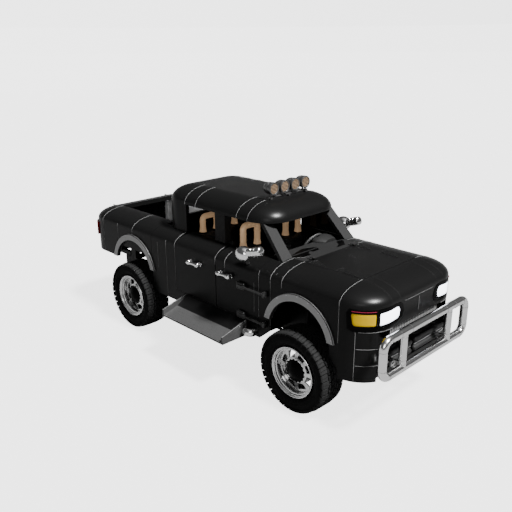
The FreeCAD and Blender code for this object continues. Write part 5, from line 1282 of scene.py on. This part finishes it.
def bed_tie_downs():
    """Three steel loops on each side wall, on round feet."""
    bm = bmesh.new()
    half, z = 0.035, 1.36
    for s in (-1, 1):
        y = s * BED_WALL_Y
        for x in (-2.20 + MID, -1.60 + MID, -1.25 + MID):
            loop = rounded_path([(x - half, y, z), (x - half, y - s * 0.026, z),
                                 (x + half, y - s * 0.026, z), (x + half, y, z)], 0.010)
            add_tube(bm, loop, 0.006, 12)
            for e in (-1, 1):
                add_lathe(bm, [(0.0, 0.0), (0.014, 0.0), (0.012, -s * 0.004), (0.0, -s * 0.004)], 16,
                          (x + e * half, y, z))
    finish_mesh("bed_tie_downs", bm, STEEL, "truck")


def bed_wall_seam():
    """Row of short stitches along each side wall."""
    bm = bmesh.new()
    for s in (-1, 1):
        y = s * BED_WALL_Y
        for i in range(28):
            x = -2.28 + MID + i * 0.041
            add_tube(bm, [(x, y, 1.440), (x + 0.022, y, 1.440)], 0.0018, 6)
    finish_mesh("bed_wall_seam", bm, GROOVE, "truck")


def tail_details():
    """Bars across the tail lamps, and the tailgate's handle and pressed lines."""
    for side, s in SIDES:
        bm = bmesh.new()
        for i in range(6):
            z = 1.178 + 0.030 * i
            points = []
            for d in range(4, 50, 5):
                a = math.radians(d)
                r = ROUND + 0.0282
                points.append((TAIL_CX - r * math.cos(a), s * (FLAT_Y + r * math.sin(a)), z))
            amber = i > 3
            add_tube(bm, points, 0.012 if amber else 0.002, 8, index=int(amber), flat=0.5)
        finish_mesh("tail_lamp_flutes_" + side, bm, (RED_LENS, AMBER), "truck", slot="lamp_red")
    x = -2.690 + MID
    bm = bmesh.new()
    add_box(bm, x - 0.0006, x + 0.006, -0.110, 0.110, 1.290, 1.350, 0.004)
    grip = rounded_path([(x + 0.002, -0.080, 1.320), (x - 0.018, -0.080, 1.320), (x - 0.018, 0.080, 1.320),
                         (x + 0.002, 0.080, 1.320)], 0.010)
    add_tube(bm, grip, 0.009, 14, index=1)
    finish_mesh("tailgate_handle", bm, (TRIM, CHROME), "tailgate")
    bm = bmesh.new()
    for z in (1.00, 1.22):
        add_tube(bm, [(x - 0.0002, -0.43, z), (x - 0.0002, 0.43, z)], 0.0024, 6)
    finish_mesh("tailgate_lines", bm, GROOVE, "tailgate")


# Cabin

def dashboard_details():
    """Gauge hood with two dials, air vents, centre stack with knobs and screen, and a tray."""
    bm = bmesh.new()
    front, top = BOARD_FRONT_X, BOARD_TOP_Z
    arch = []
    for i in range(13):
        a = math.pi * i / 12
        arch.append((0.165 * math.cos(a), 0.055 * math.sin(a)))
    rings = []
    for back, k in ((0.232, 1.0), (0.215, 1.05), (0.150, 1.0), (0.070, 0.6)):
        rings.append([bm.verts.new((front - back, 0.370 + y * k, top - 0.012 + z * k)) for y, z in arch])
    join_rings(bm, rings, closed=False)
    bm.faces.new(rings[-1])
    for y in (0.295, 0.445):
        add_lathe(bm, [(0.0, 0.0), (0.040, 0.0), (0.046, -0.004), (0.046, -0.010), (0.043, -0.010)], 32,
                  (front - 0.200, y, top + 0.004), axis="X", index=1)
    for y in (-0.480, -0.300, 0.060, 0.545):
        add_box(bm, front - 0.240, front - 0.216, y - 0.052, y + 0.052, top - 0.125, top - 0.072, 0.006)
        for i in range(4):
            z = top - 0.115 + 0.0115 * i
            add_box(bm, front - 0.2425, front - 0.236, y - 0.044, y + 0.044, z, z + 0.004, 0.001, index=1)
    add_box(bm, front - 0.236, front - 0.190, -0.150, 0.010, top - 0.255, top - 0.060, 0.010, index=1)
    for i in range(3):
        add_lathe(bm, [(0.0, -0.012), (0.013, -0.012), (0.015, 0.0)], 20,
                  (front - 0.2365, -0.118 + 0.048 * i, top - 0.215), axis="X", index=2)
    add_box(bm, front - 0.238, front - 0.232, -0.130, -0.010, top - 0.180, top - 0.085, 0.003, index=3)
    add_box(bm, front - 0.2335, front - 0.222, -0.520, -0.220, top - 0.205, top - 0.140, 0.008)
    finish_mesh("dashboard_details", bm, (TRIM, HUB, CHROME, MIRROR), "truck", slot="trim_dark")


def floor_mats():
    """Six floor mats, and the carpeted hump down the middle."""
    bm = bmesh.new()
    z = FLOOR_Z + 0.0002
    for s in (-1, 1):
        for x0, x1 in ((0.020, 0.240), (0.760, 1.020), (-0.130, -0.020)):
            add_box(bm, x0 + MID, x1 + MID, s * 0.37 - 0.20, s * 0.37 + 0.20, z, FLOOR_Z + 0.010, 0.004)
    add_box(bm, -1.040 + MID, 1.020 + MID, -0.120, 0.120, z, FLOOR_Z + 0.060, 0.030, 4)
    finish_mesh("floor_mats", bm, CARPET, "truck")


def pedals_and_lever():
    """Three hanging pedals, and the gear lever with its knob and boot."""
    bm = bmesh.new()
    for y in (0.30, 0.37, 0.45):
        arm = rounded_path([(1.028 + MID, y, 1.15), (0.960 + MID, y, 1.12), (0.930 + MID, y, 0.955)], 0.03)
        add_tube(bm, arm, 0.007, 10)
        add_box(bm, 0.915 + MID, 0.930 + MID, y - 0.025, y + 0.025, 0.915, 0.975, 0.004, index=1)
    lever = rounded_path([(0.52 + MID, 0.0, 0.845), (0.50 + MID, 0.0, 1.00), (0.47 + MID, 0.0, 1.10)], 0.05)
    add_tube(bm, lever, 0.008, 12)
    add_lathe(bm, [(0.0, 0.030), (0.018, 0.024), (0.024, 0.008), (0.020, -0.014), (0.010, -0.022),
                   (0.0, -0.022)], 24, (0.47 + MID, 0.0, 1.115), axis="Z", index=1)
    add_lathe(bm, [(0.060, 0.0), (0.050, 0.014), (0.038, 0.018), (0.030, 0.034), (0.018, 0.040),
                   (0.009, 0.060)], 24, (0.52 + MID, 0.0, 0.848), axis="Z", index=1)
    finish_mesh("pedals_and_lever", bm, (STEEL, RUBBER), "truck")


def wheel_grip():
    """Thicker grip sections and the horn cap of the steering wheel."""
    bm = bmesh.new()
    lean = Euler((0, -math.radians(65), 0)).to_matrix() @ Euler((0, 0, math.radians(90))).to_matrix()
    def spot(r, a, h):
        """Point at a radius and angle in the wheel's own plane, h above it."""
        return Vector(STEERING_AT) + lean @ Vector((r * math.cos(a), r * math.sin(a), h))
    for start in (20, 110, 200, 290):
        path = [spot(0.185, math.radians(start + 50 * i / 12), 0.0) for i in range(13)]
        add_tube(bm, path, [0.0152] + [0.0165] * 11 + [0.0152], 16)
    rings = []
    for r, h in ((0.022, 0.022), (0.036, 0.018), (0.038, 0.012)):
        rings.append([bm.verts.new(spot(r, 2 * math.pi * i / 32, h)) for i in range(32)])
    join_rings(bm, rings, index=1)
    bm.faces.new(rings[0]).material_index = 1
    finish_mesh("steering_wheel_grip", bm, (LEATHER, CHROME), "steering_wheel", slot="seat_black")


# Seats

def cushion_form(bm, x0, x1, y0, y1, z0, z1, lean, corner):
    """Closed pad with rounded plan corners; lean shifts its top along X."""
    rings = []
    steps = 8
    for z, k in ((z0, 0.94), (z0 + 0.015, 1.0), (z1 - 0.020, 1.0), (z1, 0.93)):
        t = (z - z0) / (z1 - z0)
        cx, cy = (x0 + x1) / 2 + lean * t, (y0 + y1) / 2
        hx, hy = (x1 - x0) / 2 * k, (y1 - y0) / 2 * k
        ring = []
        for q, (sx, sy) in enumerate(((1, 1), (-1, 1), (-1, -1), (1, -1))):
            for i in range(steps + 1):
                a = math.pi / 2 * (q + i / steps)
                ring.append(bm.verts.new((cx + sx * (hx - corner) + corner * math.cos(a),
                                          cy + sy * (hy - corner) + corner * math.sin(a), z)))
        rings.append(ring)
    join_rings(bm, rings)
    bm.faces.new(rings[0])
    bm.faces.new(rings[-1])


def swell(piece, cap, voxel=0.007, pressure=4.0):
    """Let a pad fill out under inner pressure, with no point moving further than cap."""
    remesh = piece.modifiers.new("even mesh", "REMESH")
    remesh.mode = "VOXEL"
    remesh.voxel_size = voxel
    apply_modifiers(piece)
    rest = [v.co.copy() for v in piece.data.vertices]
    cloth = piece.modifiers.new("filling", "CLOTH")
    cloth.settings.quality = 4
    cloth.settings.use_pressure = True
    cloth.settings.uniform_pressure_force = pressure
    cloth.settings.effector_weights.gravity = 0.0
    cloth.collision_settings.use_collision = False
    scene = bpy.context.scene
    for step in range(1, 21):
        scene.frame_set(step)
    apply_modifiers(piece)
    scene.frame_set(1)
    for v, start in zip(piece.data.vertices, rest):
        move = v.co - start
        if move.length > cap:
            v.co = start + move * (cap / move.length)


def apply_modifiers(piece):
    """Replace a piece's mesh by the one its modifiers make."""
    graph = bpy.context.evaluated_depsgraph_get()
    mesh = bpy.data.meshes.new_from_object(piece.evaluated_get(graph))
    piece.modifiers.clear()
    old = piece.data
    piece.data = mesh
    bpy.data.meshes.remove(old)


def press_channels(piece, lines, depth, width, face):
    """Sewn channels: the surface sinks along each line on the pad's outer face."""
    mesh = piece.data
    normals = [v.normal.copy() for v in mesh.vertices]
    for v, n in zip(mesh.vertices, normals):
        if n.dot(face) < 0.25:
            continue
        sink = 0.0
        for axis, at in lines:
            d = (v.co[axis] - at) / width
            sink = max(sink, math.exp(-d * d))
        v.co -= n * (depth * sink)


def smooth_pad(piece):
    """One round of subdivision, so that the sewn channels look soft."""
    divide = piece.modifiers.new("fine", "SUBSURF")
    divide.levels = 1
    divide.render_levels = 1
    apply_modifiers(piece)
    piece.data.shade_smooth()


def pad(name, box, lean, corner, lines, face):
    """One stuffed seat pad, shaped, filled, sewn and left ready to ride."""
    bm = bmesh.new()
    cushion_form(bm, *box, lean, corner)
    bmesh.ops.recalc_face_normals(bm, faces=bm.faces)
    mesh = bpy.data.meshes.new(name)
    bm.to_mesh(mesh)
    bm.free()
    piece = bpy.data.objects.new(name, mesh)
    bpy.context.scene.collection.objects.link(piece)
    swell(piece, cap=0.024)
    press_channels(piece, lines, 0.007, 0.006, Vector(face).normalized())
    smooth_pad(piece)
    piece.data.shade_smooth()
    piece.data.materials.clear()
    piece.data.materials.append(LEATHER)
    return piece


def seat_pads(place, x, back_x, length, y0, y1, corner, cushion_lines, back_lines):
    """Cushion and leaning back of one seat, with channels sewn along it at the given Y."""
    cushion = pad("%s_cushion_%s" % place,
                  (x + PAD_GAP, x + length - PAD_GAP, y0, y1,
                   CUSHION_LOW_Z + PAD_GAP, CUSHION_TOP_Z - PAD_GAP),
                  0.0, corner, [(1, y) for y in cushion_lines] + [(0, x + 0.20), (0, x + 0.33)], (0, 0, 1))
    back = pad("%s_back_%s" % place,
               (back_x - 0.012 + PAD_GAP, back_x + 0.105 - PAD_GAP * 0.6, y0, y1,
                CUSHION_TOP_Z - 0.012 + PAD_GAP * 0.3, BACK_TOP_Z - PAD_GAP),
               -0.045, 0.030, [(1, y) for y in back_lines] + [(2, 1.28), (2, 1.39)], (1, 0, 0.15))
    return cushion, back


def twin(piece, name, dy=0.0, mirror_y=False):
    """Copy of a pad at another place along Y."""
    mesh = piece.data.copy()
    mesh.name = name
    for v in mesh.vertices:
        v.co.y = (-v.co.y if mirror_y else v.co.y) + dy
    if mirror_y:
        mesh.flip_normals()
    other = bpy.data.objects.new(name, mesh)
    bpy.context.scene.collection.objects.link(other)
    return other


def seats():
    """Two front seats and a rear bench: stuffed pads on moulded shells."""
    y = -0.370
    front, front_back = seat_pads(("front", "right"), 0.270 + MID, 0.310 + MID, 0.480, -0.570 + PAD_GAP,
                                  -0.170 - PAD_GAP, 0.055, (y - 0.125, y + 0.125), (y - 0.120, y + 0.120))
    pads = [front, front_back, twin(front, "front_cushion_left", mirror_y=True),
            twin(front_back, "front_back_left", mirror_y=True)]
    third = 0.360
    half = third / 2 - PAD_GAP * 0.8
    rear, rear_back = seat_pads(("rear", "middle"), -0.600 + MID, -0.560 + MID, 0.470, -half, half, 0.045,
                                (0.0,), (0.0,))
    pads += [rear, rear_back]
    for side, s in SIDES:
        pads.append(twin(rear, "rear_cushion_" + side, dy=s * third))
        pads.append(twin(rear_back, "rear_back_" + side, dy=s * third))
    for piece in pads:
        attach(piece, "truck")
    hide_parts("seats_front")
    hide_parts("seat_rear")
    seat_shells()
    hoop_collars()


def seat_shells():
    """Moulded shells under and behind the pads, with slides and hinges."""
    bm = bmesh.new()
    for hoop_x, y, width, length in ((0.310, -0.370, 0.400, 0.480), (0.310, 0.370, 0.400, 0.480),
                                     (-0.560, 0.0, 1.080, 0.470)):
        rear = hoop_x - 0.040 + MID
        half = width / 2
        add_box(bm, rear + 0.012, rear + length - 0.014, y - half + 0.012, y + half - 0.012,
                0.985, 1.036, 0.016, 4)
        add_box(bm, rear + 0.040, rear + length - 0.070, y - half + 0.045, y + half - 0.045,
                0.850, 0.990, 0.014, 3)
        for e in (-1, 1):
            slide_y = y + e * (half - 0.075)
            add_box(bm, rear + 0.030, rear + length - 0.050, slide_y - 0.018, slide_y + 0.018,
                    0.7905, 0.815, 0.004, index=1)
            for dx in (0.06, length - 0.10):
                add_box(bm, rear + dx, rear + dx + 0.05, slide_y - 0.012, slide_y + 0.012,
                        0.805, 0.870, 0.004, index=1)
        add_back_shell(bm, rear, y, half)
        for e in (-1, 1):
            profile = [(0.0, 0.0), (0.032, 0.0), (0.036, e * -0.006), (0.036, e * -0.016), (0.0, e * -0.016)]
            add_lathe(bm, profile, 32, (rear + 0.070, y + e * (half - 0.002), 1.080))
    finish_mesh("seat_shells", bm, (TRIM, STEEL), "truck", slot="trim_dark")


def add_back_shell(bm, rear, y, half):
    """Thin curved sheet behind one seat's back."""
    shell = []
    for z, dx in ((1.060, 0.022), (1.150, 0.018), (1.300, 0.000), (1.450, -0.021), (1.494, -0.026)):
        w = half - (0.018 if z < 1.49 else 0.032)
        shell.append([bm.verts.new((rear + dx + off, y + dy, z)) for dy, off in
                      ((-w, 0.020), (-w + 0.012, 0.004), (0.0, 0.0), (w - 0.012, 0.004), (w, 0.020))])
    back = [[bm.verts.new(v.co + Vector((0.010, 0, 0))) for v in row] for row in shell]
    for rows in (shell, back, (shell[0], back[0]), (shell[-1], back[-1])):
        join_rings(bm, rows, closed=False)
    for i in (0, 4):
        join_rings(bm, ([row[i] for row in shell], [row[i] for row in back]), closed=False)


def hoop_collars():
    """Two tan collars on each leg of the four hoops behind the seats, in the tan with a painted glow."""
    bm = bmesh.new()
    for x, y in ((0.310, -0.370), (0.310, 0.370), (-0.560, -0.277), (-0.560, 0.277)):
        top = 1.800 if x > 0 else 1.738
        for e in (-1, 1):
            for z in (1.540, BACK_TOP_Z + (top - BACK_TOP_Z) * 0.55):
                add_lathe(bm, [(0.0375, -0.010), (0.0405, -0.008), (0.0405, 0.008), (0.0375, 0.010)], 32,
                          (x + MID, y + e * 0.117, z), axis="Z")
    finish_mesh("hoop_collars", bm, GLOWING_TAN, "truck", slot="tan_frame")


# Engine bay

def engine_block():
    """Block with its sump and mounts, two heads with ribbed and bolted covers, and a filler cap each."""
    bm = bmesh.new()
    x0, x1 = ENGINE_REAR_X, ENGINE_FRONT_X
    add_box(bm, x0, x1 - 0.12, -0.200, 0.200, 0.7405, 1.120, 0.020, 3)
    add_box(bm, x0 + 0.02, x1 - 0.14, -0.160, 0.160, 0.700, 0.745, 0.015, 3)
    mid = (x0 + x1) / 2
    add_box(bm, mid - 0.050, mid + 0.050, -0.3395, 0.3395, 0.700, 0.740, 0.006)
    for s in (-1, 1):
        for i in range(6):
            x = x0 + 0.06 + 0.092 * i
            add_side_box(bm, s, x - 0.010, x + 0.010, 0.190, 0.206, 0.80, 1.08, 0.004)
        add_side_box(bm, s, x0 + 0.01, x1 - 0.15, 0.085, 0.245, 1.110, 1.205, 0.018, 3)
        add_side_box(bm, s, x0 + 0.02, x1 - 0.16, 0.105, 0.225, 1.195, 1.262, 0.022, 4, index=1)
        for i in range(5):
            x = x0 + 0.07 + 0.100 * i
            add_side_box(bm, s, x - 0.007, x + 0.007, 0.112, 0.218, 1.258, 1.270, 0.004, index=1)
        for i in range(6):
            x = x0 + 0.045 + 0.094 * i
            for y in (s * 0.112, s * 0.218):
                add_bolt(bm, (x, y, 1.2555), (0, 0, 1), 0.008, 0.006, index=2)
        add_lathe(bm, [(0.0, 0.016), (0.026, 0.016), (0.028, 0.012), (0.028, 0.0)], 24,
                  (x0 + 0.50, s * 0.165, 1.262), axis="Z", index=1)
    finish_mesh("engine_block", bm, (CAST, TRIM, STEEL), "truck", slot="cast_dark", hides=("engine",))


def intake():
    """Plenum with four runners on each side, and a ribbed rubber neck."""
    bm = bmesh.new()
    x0, x1 = ENGINE_REAR_X, ENGINE_FRONT_X
    add_box(bm, x0 + 0.05, x1 - 0.20, -0.070, 0.070, 1.230, 1.335, 0.030, 5)
    for s in (-1, 1):
        for i in range(4):
            x = x0 + 0.11 + 0.105 * i
            path = rounded_path([(x, s * 0.050, 1.290), (x, s * 0.095, 1.320), (x, s * 0.098, 1.235),
                                 (x, s * 0.093, 1.190)], 0.016)
            add_tube(bm, path, 0.021, 14)
    neck = rounded_path([(x1 - 0.215, 0.0, 1.290), (x1 - 0.10, 0.0, 1.290), (x1 - 0.09, -0.10, 1.300),
                         (x1 - 0.09, -0.19, 1.300)], 0.045)
    add_tube(bm, neck, 0.040, 20, index=1)
    for i in range(4):
        x = x1 - 0.200 + 0.02 * i
        add_tube(bm, [(x, 0.0, 1.290), (x + 0.005, 0.0, 1.290)], 0.0435, 20, index=1)
    finish_mesh("intake", bm, (CAST, RUBBER), "truck")


def pulleys_and_belt():
    """Four grooved pulleys on the engine's front, with the belt round them."""
    bm = bmesh.new()
    front = ENGINE_FRONT_X - 0.118
    for y, z, r in ((0.0, 0.930, 0.085), (-0.140, 1.080, 0.050), (0.140, 1.090, 0.045),
                    (0.110, 0.850, 0.060)):
        profile = [(0.0, 0.0), (r * 0.9, 0.0), (r, 0.004), (r * 0.93, 0.009), (r, 0.014), (r * 0.93, 0.019),
                   (r, 0.024), (r * 0.90, 0.028), (r * 0.55, 0.024), (r * 0.3, 0.034), (0.0, 0.036)]
        add_lathe(bm, profile, 36, (front, y, z), axis="X")
    belt = [(front + 0.014, y, z) for y, z in ((-0.060, 0.870), (0.120, 0.789), (0.168, 0.865),
            (0.184, 1.075), (0.150, 1.134), (-0.130, 1.130), (-0.190, 1.070))]
    add_tube(bm, belt, 0.010, 4, closed=True, index=1, flat=0.35)
    finish_mesh("pulleys_and_belt", bm, (STEEL, RUBBER), "truck")


def cooling_fan():
    """Seven twisted blades on a hub."""
    bm = bmesh.new()
    at = Vector((ENGINE_FRONT_X - 0.055, 0.0, 1.060))
    add_lathe(bm, [(0.0, 0.0), (0.045, 0.0), (0.050, 0.006), (0.050, 0.030), (0.0, 0.034)], 32, at, axis="X")
    blade = ((0.045, -0.020, 0.026), (0.205, -0.045, 0.028), (0.210, 0.030, 0.006), (0.045, 0.020, 0.008))
    for i in range(7):
        a = 2 * math.pi * i / 7
        u, w = Vector((0, math.cos(a), math.sin(a))), Vector((0, -math.sin(a), math.cos(a)))
        corners = [at + Vector((dx, 0, 0)) + u * r + w * t for r, t, dx in blade]
        low = [bm.verts.new(p) for p in corners]
        high = [bm.verts.new(p + Vector((0.003, 0, 0))) for p in corners]
        bm.faces.new(low)
        bm.faces.new(high)
        join_rings(bm, (low, high))
    finish_mesh("cooling_fan", bm, TRIM, "truck")


def radiator():
    """Finned core between two tanks and two side frames, with the top hose."""
    bm = bmesh.new()
    x, hose_x = 1.985 + MID, ENGINE_FRONT_X - 0.19
    add_box(bm, x, x + 0.045, -0.300, 0.300, 0.800, 1.340, 0.004, index=1)
    for z in (0.790, 1.330):
        add_box(bm, x - 0.006, x + 0.052, -0.310, 0.310, z, z + 0.045, 0.014, 4)
    for i in range(26):
        z = 0.842 + 0.0187 * i
        add_box(bm, x - 0.0035, x, -0.296, 0.296, z, z + 0.006, 0.001, index=2)
    for y in (-0.306, 0.306):
        add_box(bm, x - 0.004, x + 0.048, y - 0.012, y + 0.012, 0.800, 1.340, 0.004)
    hose = rounded_path([(x - 0.004, 0.230, 1.345), (x - 0.120, 0.230, 1.345), (hose_x, 0.115, 1.300),
                         (hose_x, 0.115, 1.195)], 0.03)
    add_tube(bm, hose, 0.020, 16, index=2)
    finish_mesh("radiator", bm, (TRIM, STEEL, RUBBER), "truck")


def battery_and_tanks():
    """Battery with its lid and posts on a tray, the ribbed air filter and the washer tank, on stands."""
    bm = bmesh.new()
    x = 1.340 + MID
    add_box(bm, x, x + 0.180, -0.465, -0.300, 1.180, 1.370, 0.008, 3)
    add_box(bm, x + 0.005, x + 0.175, -0.460, -0.305, 1.366, 1.384, 0.006, 3, index=1)
    for dx in (0.030, 0.150):
        add_lathe(bm, [(0.0, 0.020), (0.009, 0.020), (0.010, 0.0)], 20, (x + dx, -0.340, 1.384),
                  axis="Z", index=2)
    add_box(bm, x - 0.010, x + 0.190, -0.475, -0.290, 1.150, 1.185, 0.006, index=1)
    add_box(bm, x - 0.005, x + 0.01, -0.475, -0.330, 0.760, 1.160, 0.004, index=1)
    filter_x, filter_y = 1.640 + MID, 0.385
    add_lathe(bm, [(0.0, -0.08), (0.075, -0.08), (0.082, -0.07), (0.082, 0.07), (0.075, 0.08), (0.0, 0.085)],
              36, (filter_x, filter_y, 1.290), axis="Z", index=1)
    for i in range(5):
        add_lathe(bm, [(0.082, -0.004), (0.0855, 0.0), (0.082, 0.004)], 36,
                  (filter_x, filter_y, 1.240 + 0.022 * i), axis="Z", index=1)
    add_box(bm, filter_x - 0.040, filter_x + 0.040, 0.340, 0.430, 0.760, 1.215, 0.010, index=1)
    # The washer tank takes the clear lens material, whose glow makes it shine though it is no lamp: a painted
    # glow
    add_box(bm, x, x + 0.130, 0.310, 0.440, 1.190, 1.350, 0.020, 4, index=3)
    add_lathe(bm, [(0.0, 0.018), (0.024, 0.018), (0.026, 0.0)], 24, (x + 0.060, 0.375, 1.350), axis="Z",
              index=1)
    add_box(bm, x + 0.020, x + 0.110, 0.330, 0.420, 0.760, 1.195, 0.010, index=1)
    finish_mesh("battery_and_tanks", bm, (HUB, TRIM, STEEL, WHITE_LENS), "truck")


# Looks of the CAD nodes, and the studio

def dress_nodes():
    """Materials for the CAD nodes that stay in view."""
    # The seat hoops take the tan with a painted glow
    looks = {
        "frame_rails": CHASSIS, "bed_mounts": CHASSIS, "cab_floor": PAINT, "cab_quarters": PAINT,
        "cab_back": ROOF_PAINT, "pillars": TRIM, "cab_roof": ROOF_PAINT, "fenders": PAINT, "cowl": TRIM,
        "hood": PAINT, "hood_hinges": DARK_STEEL, "nose_panel": PAINT, "grille": TRIM,
        "headlamps": WHITE_LENS, "turn_lamps": AMBER, "front_bumper": PAINT, "rear_bumper": CHASSIS,
        "bull_bar": CHROME, "bed": PAINT, "tailgate": PAINT, "tail_lamps": RED_LENS,
        "arch_flares": FLARE, "side_steps": STEP, "rocker_skirts": PAINT, "exhaust": CHROME,
        "dashboard": TRIM, "steering_column": TRIM, "steering_wheel": LEATHER, "seats_front": LEATHER,
        "seat_rear": LEATHER, "seat_hoops": GLOWING_TAN, "engine": CAST, "driveline": CAST,
        "fuel_tank": CHASSIS, "axle_front": CAST, "axle_rear": CAST, "suspension": CHASSIS,
        "hinge_brackets": DARK_STEEL, "tie_rod": CHASSIS, "roof_lamps": LAMP_METAL,
    }
    for side, _ in SIDES:
        for place in ("front", "rear"):
            looks["door_%s_%s" % (place, side)] = PAINT
            looks["fittings_%s_%s" % (place, side)] = CHROME
            looks["tyre_%s_%s" % (place, side)] = RUBBER
            looks["wheel_%s_%s" % (place, side)] = BRIGHT
        looks["knuckle_" + side] = CAST
    for name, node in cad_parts.items():
        for slot in node.material_slots:
            slot.material = looks[name]


def floor_material():
    """Pale backdrop that looks nearly white to the eye, and stays softer in the paint's reflections."""
    mat = material("studio floor", (0.12, 0.12, 0.12, 1), 0.9, specular=0.02, variation=0.01, scale=0.5)
    tree = mat.node_tree
    shader = tree.nodes["Principled BSDF"]
    path = tree.nodes.new("ShaderNodeLightPath")
    link(tree, path.outputs["Is Camera Ray"], shader.inputs["Emission Color"])
    shader.inputs["Emission Strength"].default_value = 2.8
    return mat


def studio_floor():
    """Round pale floor whose edge curves up into a backdrop."""
    bm = bmesh.new()
    steps = 96
    rings = []
    turns = [math.tau * i / steps for i in range(steps)]
    for r, z in ((46.0, 0.0), (50.0, 0.35), (53.6, 1.40), (56.5, 3.20), (58.6, 5.60), (59.7, 8.40),
                 (60.0, 11.0)):
        rings.append([bm.verts.new((r * math.cos(a), r * math.sin(a), z)) for a in turns])
    bm.faces.new(rings[0])
    join_rings(bm, rings)
    mesh = bpy.data.meshes.new("floor")
    bm.to_mesh(mesh)
    bm.free()
    floor = bpy.data.objects.new("floor", mesh)
    bpy.context.scene.collection.objects.link(floor)
    mesh.materials.append(floor_material())


def studio_world():
    """Dark studio with a bright low band all round; the camera itself sees plain white."""
    world = bpy.data.worlds.new("studio")
    bpy.context.scene.world = world
    world.use_nodes = True
    tree = world.node_tree
    background = tree.nodes["Background"]
    split = tree.nodes.new("ShaderNodeSeparateXYZ")
    link(tree, tree.nodes.new("ShaderNodeTexCoord").outputs["Generated"], split.inputs["Vector"])
    sky = tree.nodes.new("ShaderNodeValToRGB")
    for place, tone in ((0.07, 1.0), (0.15, 0.03), (0.88, 0.03)):
        stop = sky.color_ramp.elements.new(place)
        stop.color = (tone, tone, tone, 1)
    sky.color_ramp.elements[0].color = (1, 1, 1, 1)
    sky.color_ramp.elements[-1].color = (0.2, 0.2, 0.2, 1)
    link(tree, split.outputs["Z"], sky.inputs["Fac"])
    # For colours, the Mix node's factor is input 0, its two colours 6 and 7, and its result output 2
    seen = tree.nodes.new("ShaderNodeMix")
    seen.data_type = "RGBA"
    seen.inputs[7].default_value = (1, 1, 1, 1)
    link(tree, tree.nodes.new("ShaderNodeLightPath").outputs["Is Camera Ray"], seen.inputs[0])
    link(tree, sky.outputs["Color"], seen.inputs[6])
    link(tree, seen.outputs[2], background.inputs["Color"])
    background.inputs["Strength"].default_value = 3.1


def studio_lamp(name, kind, at, look, power):
    """Lamp at a place, turned towards a point."""
    lamp = bpy.data.lights.new(name, kind)
    lamp.energy = power
    obj = bpy.data.objects.new(name, lamp)
    obj.location = at
    obj.rotation_euler = (Vector(look) - Vector(at)).to_track_quat("-Z", "Y").to_euler()
    bpy.context.scene.collection.objects.link(obj)
    return lamp


def studio():
    """Floor and surroundings, two soft lamps and the camera."""
    studio_floor()
    studio_world()
    key = studio_lamp("key", "SUN", (10.9, 1.2, 17.9), (0.3, 0, 1.0), 25.0)
    key.angle = math.radians(9)
    fill = studio_lamp("fill", "AREA", (6.8, -7.8, 6.0), (0, 0, 1.0), 300.0)
    fill.size = 4.0
    add_camera()


# The photo's camera: where it stands, seen from the target, and its focal length and width in pixels
CAMERA_AZIMUTH = 45.938
CAMERA_ELEVATION = 18.741
CAMERA_DISTANCE = 8.0473
CAMERA_ROLL = -0.368
CAMERA_TARGET = (0.0253 + MID, 0.0, 1.2050)
FOCAL_PIXELS = 618.0
PHOTO_PIXELS = 512
SENSOR_WIDTH = 36.0


def add_camera():
    """Camera that sees the vehicle as the photo does."""
    camera = bpy.data.cameras.new("camera")
    camera.lens = FOCAL_PIXELS / PHOTO_PIXELS * SENSOR_WIDTH
    camera.sensor_width = SENSOR_WIDTH
    camera.clip_end = 300.0
    obj = bpy.data.objects.new("camera", camera)
    a, e = math.radians(CAMERA_AZIMUTH), math.radians(CAMERA_ELEVATION)
    back = Vector((math.cos(e) * math.sin(a), -math.cos(e) * math.cos(a), math.sin(e)))
    obj.location = Vector(CAMERA_TARGET) + back * CAMERA_DISTANCE
    turn = (-back).to_track_quat("-Z", "Y").to_matrix().to_4x4()
    turn = turn @ Matrix.Rotation(math.radians(CAMERA_ROLL), 4, "Z")
    obj.rotation_euler = turn.to_euler()
    bpy.context.scene.collection.objects.link(obj)
    bpy.context.scene.camera = obj


def main():
    """Build every piece, then the studio."""
    dress_nodes()
    for side, s in SIDES:
        for place in ("front", "rear"):
            tyre(place, side, s)
            rim(place, side, s)
    for build in (springs_and_links, axle_details, body_seams, roof_seams, bumper_seams, nose_lines,
                  hood_vents, lamp_surrounds, roof_lamps, small_front_lamps, recess_bars, grille_ribs,
                  cowl_dark_patches, bull_bar_bands, flare_trim, step_grips, door_fittings, left_panes,
                  bed_lining, tail_details, dashboard_details, floor_mats, pedals_and_lever, wheel_grip,
                  seats, engine_block, intake, pulleys_and_belt, cooling_fan, radiator, battery_and_tanks,
                  studio):
        build()


main()
